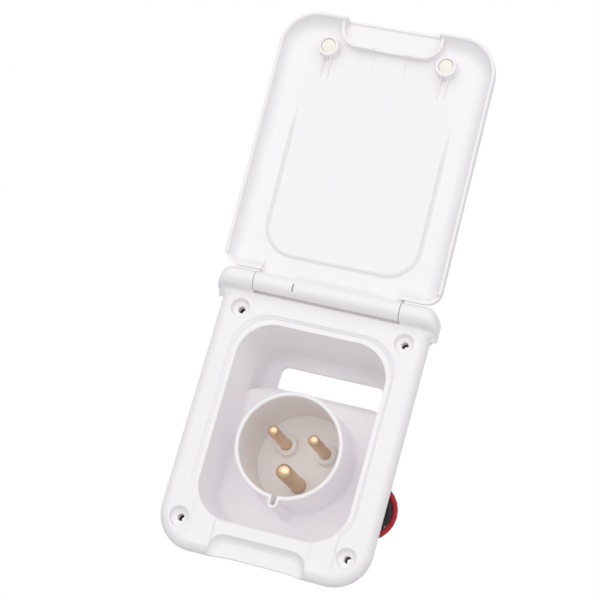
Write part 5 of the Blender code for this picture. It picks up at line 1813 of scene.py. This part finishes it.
    def build(self, housing: Housing, contacts: Contacts, finishes: Finishes) -> None:
        """Lays the terminal screws, the carrier's screws and the cord clamp's screws.

        Args:
            housing: The moulding whose posts take screws.
            contacts: The pins whose terminals take screws.
            finishes: The inlet's finishes.
        """
        tree = self.tree(finishes.steel)
        half = DATUM.lead_diameter / 2
        end = DATUM.face_y + DATUM.lead_depth + contacts.terminal_reach + DATUM.clear
        collar = DATUM.face_y + DATUM.collar_depth + DATUM.collar_thickness + DATUM.clear
        clamp = DATUM.face_y + DATUM.lead_depth + half + DATUM.clear * 2 + self.clamp_thickness
        terminals = [(x, z) for _, x, z, _ in contacts.places()]
        for name, centres, seat, shank, nodes in (
            ("terminal", terminals, end, contacts.terminal_reach - half, ("line", "neutral", "earth")),
            ("carrier", housing.ear_places(), collar, self.shank, ("upper", "lower")),
            ("clamp", housing.clamp_places(), clamp, self.shank, ("upper", "lower")),
        ):
            screws = self.lay(f"{name}_screws", [(x, seat, z) for x, z in centres], shank, tree)
            smooth(screws, self.smooth_angle)
            names = [f"{name}_screw_{node}" for node in nodes]
            dress(screws, finishes.steel, Body.HOUSING, names)


class SmallParts:
    """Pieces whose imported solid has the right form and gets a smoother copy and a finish."""

    def copy(self, frame: dict, node: str, name: str, material: Material, body: Body, slot: Slot) -> None:
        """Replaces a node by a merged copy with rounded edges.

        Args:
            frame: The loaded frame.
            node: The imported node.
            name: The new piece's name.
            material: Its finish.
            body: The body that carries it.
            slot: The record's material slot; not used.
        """
        mesh = frame["nodes"][node].data.copy()
        mesh.name = name
        made = linked(name, mesh)
        soften(made, SMALL_EDGE, angle=SMALL_EDGE_ANGLE)
        dress(made, material, body, [node])

    def build(self, frame: dict, finishes: Finishes) -> None:
        """Dresses the gasket, the clamp, the tie, the hinge pins and the catch plates.

        Args:
            frame: The loaded frame.
            finishes: The inlet's finishes.
        """
        self.copy(frame, "gasket", "foam_gasket", finishes.foam, Body.HOUSING, Slot.FOAM)
        self.copy(frame, "cord_clamp", "clamp_bar", finishes.white, Body.HOUSING, Slot.WHITE)
        self.copy(frame, "lead_tie", "tie_band", finishes.tie, Body.HOUSING, Slot.TIE)
        for side in ("left", "right"):
            for node, name in (("hinge_pin", "steel_hinge_pin"), ("catch_plate", "steel_catch")):
                names = (f"{node}_{side}", f"{name}_{side}")
                self.copy(frame, *names, finishes.steel, Body.HOUSING, Slot.STEEL)


@dataclass(frozen=True)
class Lamp:
    """A soft rectangular lamp that looks at the inlet."""

    name: str
    place: Point3
    size: float
    power: float
    target: Point3 = (0.0, 0.0, 0.05)

    def hang(self) -> None:
        """Makes the lamp."""
        data = bpy.data.lights.new(self.name, "AREA")
        data.size = self.size
        data.energy = self.power
        lamp = linked(self.name, data)
        lamp.location = self.place
        aim = Vector(self.target) - Vector(self.place)
        lamp.rotation_euler = aim.to_track_quat("-Z", "Y").to_euler()


@dataclass
class Studio:
    """Plain white surroundings, a pale floor and soft lamps."""

    ambient: float = 0.50
    floor_z: float = -0.45
    floor_size: float = 3.0
    floor_tone: float = 0.86
    floor_rough: float = 0.8
    lamps: tuple[Lamp, ...] = (
        Lamp("key", (0.11, -1.22, 0.30), 2.4, 15.0),
    )

    def white_for_views(self, tree: Tree) -> Socket:
        """A mask of the rays that see the background itself: camera, glossy and transmission rays."""
        path = tree.add("ShaderNodeLightPath")
        mask = path.outputs["Is Camera Ray"]
        for ray in ("Is Glossy Ray", "Is Transmission Ray"):
            either = tree.add("ShaderNodeMath", operation="MAXIMUM")
            tree.link(mask, either.inputs[0])
            tree.link(path.outputs[ray], either.inputs[1])
            mask = either.outputs[0]
        return mask

    def build(self) -> None:
        """Sets the world, the floor and the lamps."""
        world = bpy.data.worlds.new("white_studio")
        bpy.context.scene.world = world
        world.use_nodes = True
        tree = Tree(world.node_tree)
        plain = world.node_tree.nodes["Background"]
        plain.inputs["Color"].default_value = (1.0, 1.0, 1.0, 1.0)
        spread = tree.add("ShaderNodeMapRange", inputs={"To Min": self.ambient, "To Max": 1.0})
        tree.link(self.white_for_views(tree), spread.inputs["Value"])
        tree.link(spread.outputs["Result"], plain.inputs["Strength"])
        self.build_floor()
        for lamp in self.lamps:
            lamp.hang()
        bpy.context.scene.view_settings.view_transform = "Standard"

    def build_floor(self) -> None:
        """The pale floor under the camera's view."""
        bm = bmesh.new()
        bmesh.ops.create_grid(bm, x_segments=1, y_segments=1, size=self.floor_size)
        mesh = bpy.data.meshes.new("floor")
        bm.to_mesh(mesh)
        bm.free()
        floor = linked("floor", mesh)
        floor.location = (0.0, 0.0, self.floor_z)
        material = bpy.data.materials.new("pale_floor")
        material.use_nodes = True
        shader = material.node_tree.nodes["Principled BSDF"]
        shader.inputs["Base Color"].default_value = (self.floor_tone, self.floor_tone, self.floor_tone, 1.0)
        shader.inputs["Roughness"].default_value = self.floor_rough
        mesh.materials.append(material)


def main() -> None:
    """Builds the inlet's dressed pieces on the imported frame."""
    logging.basicConfig(level=logging.INFO, format="%(name)s %(message)s")
    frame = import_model()
    finishes = Finishes.mix()
    Viewpoint().set_up()
    Leads().build(finishes)
    housing = Housing()
    housing.build(finishes)
    Lid().build(finishes)
    contacts = Contacts()
    contacts.build_carrier(housing, finishes)
    contacts.build_pins(finishes)
    Fasteners().build(housing, contacts, finishes)
    SmallParts().build(frame, finishes)
    Studio().build()
    cycles = bpy.context.scene.cycles
    cycles.max_bounces = WHITE_BOUNCES
    cycles.diffuse_bounces = WHITE_BOUNCES


if __name__ == "__main__":
    main()
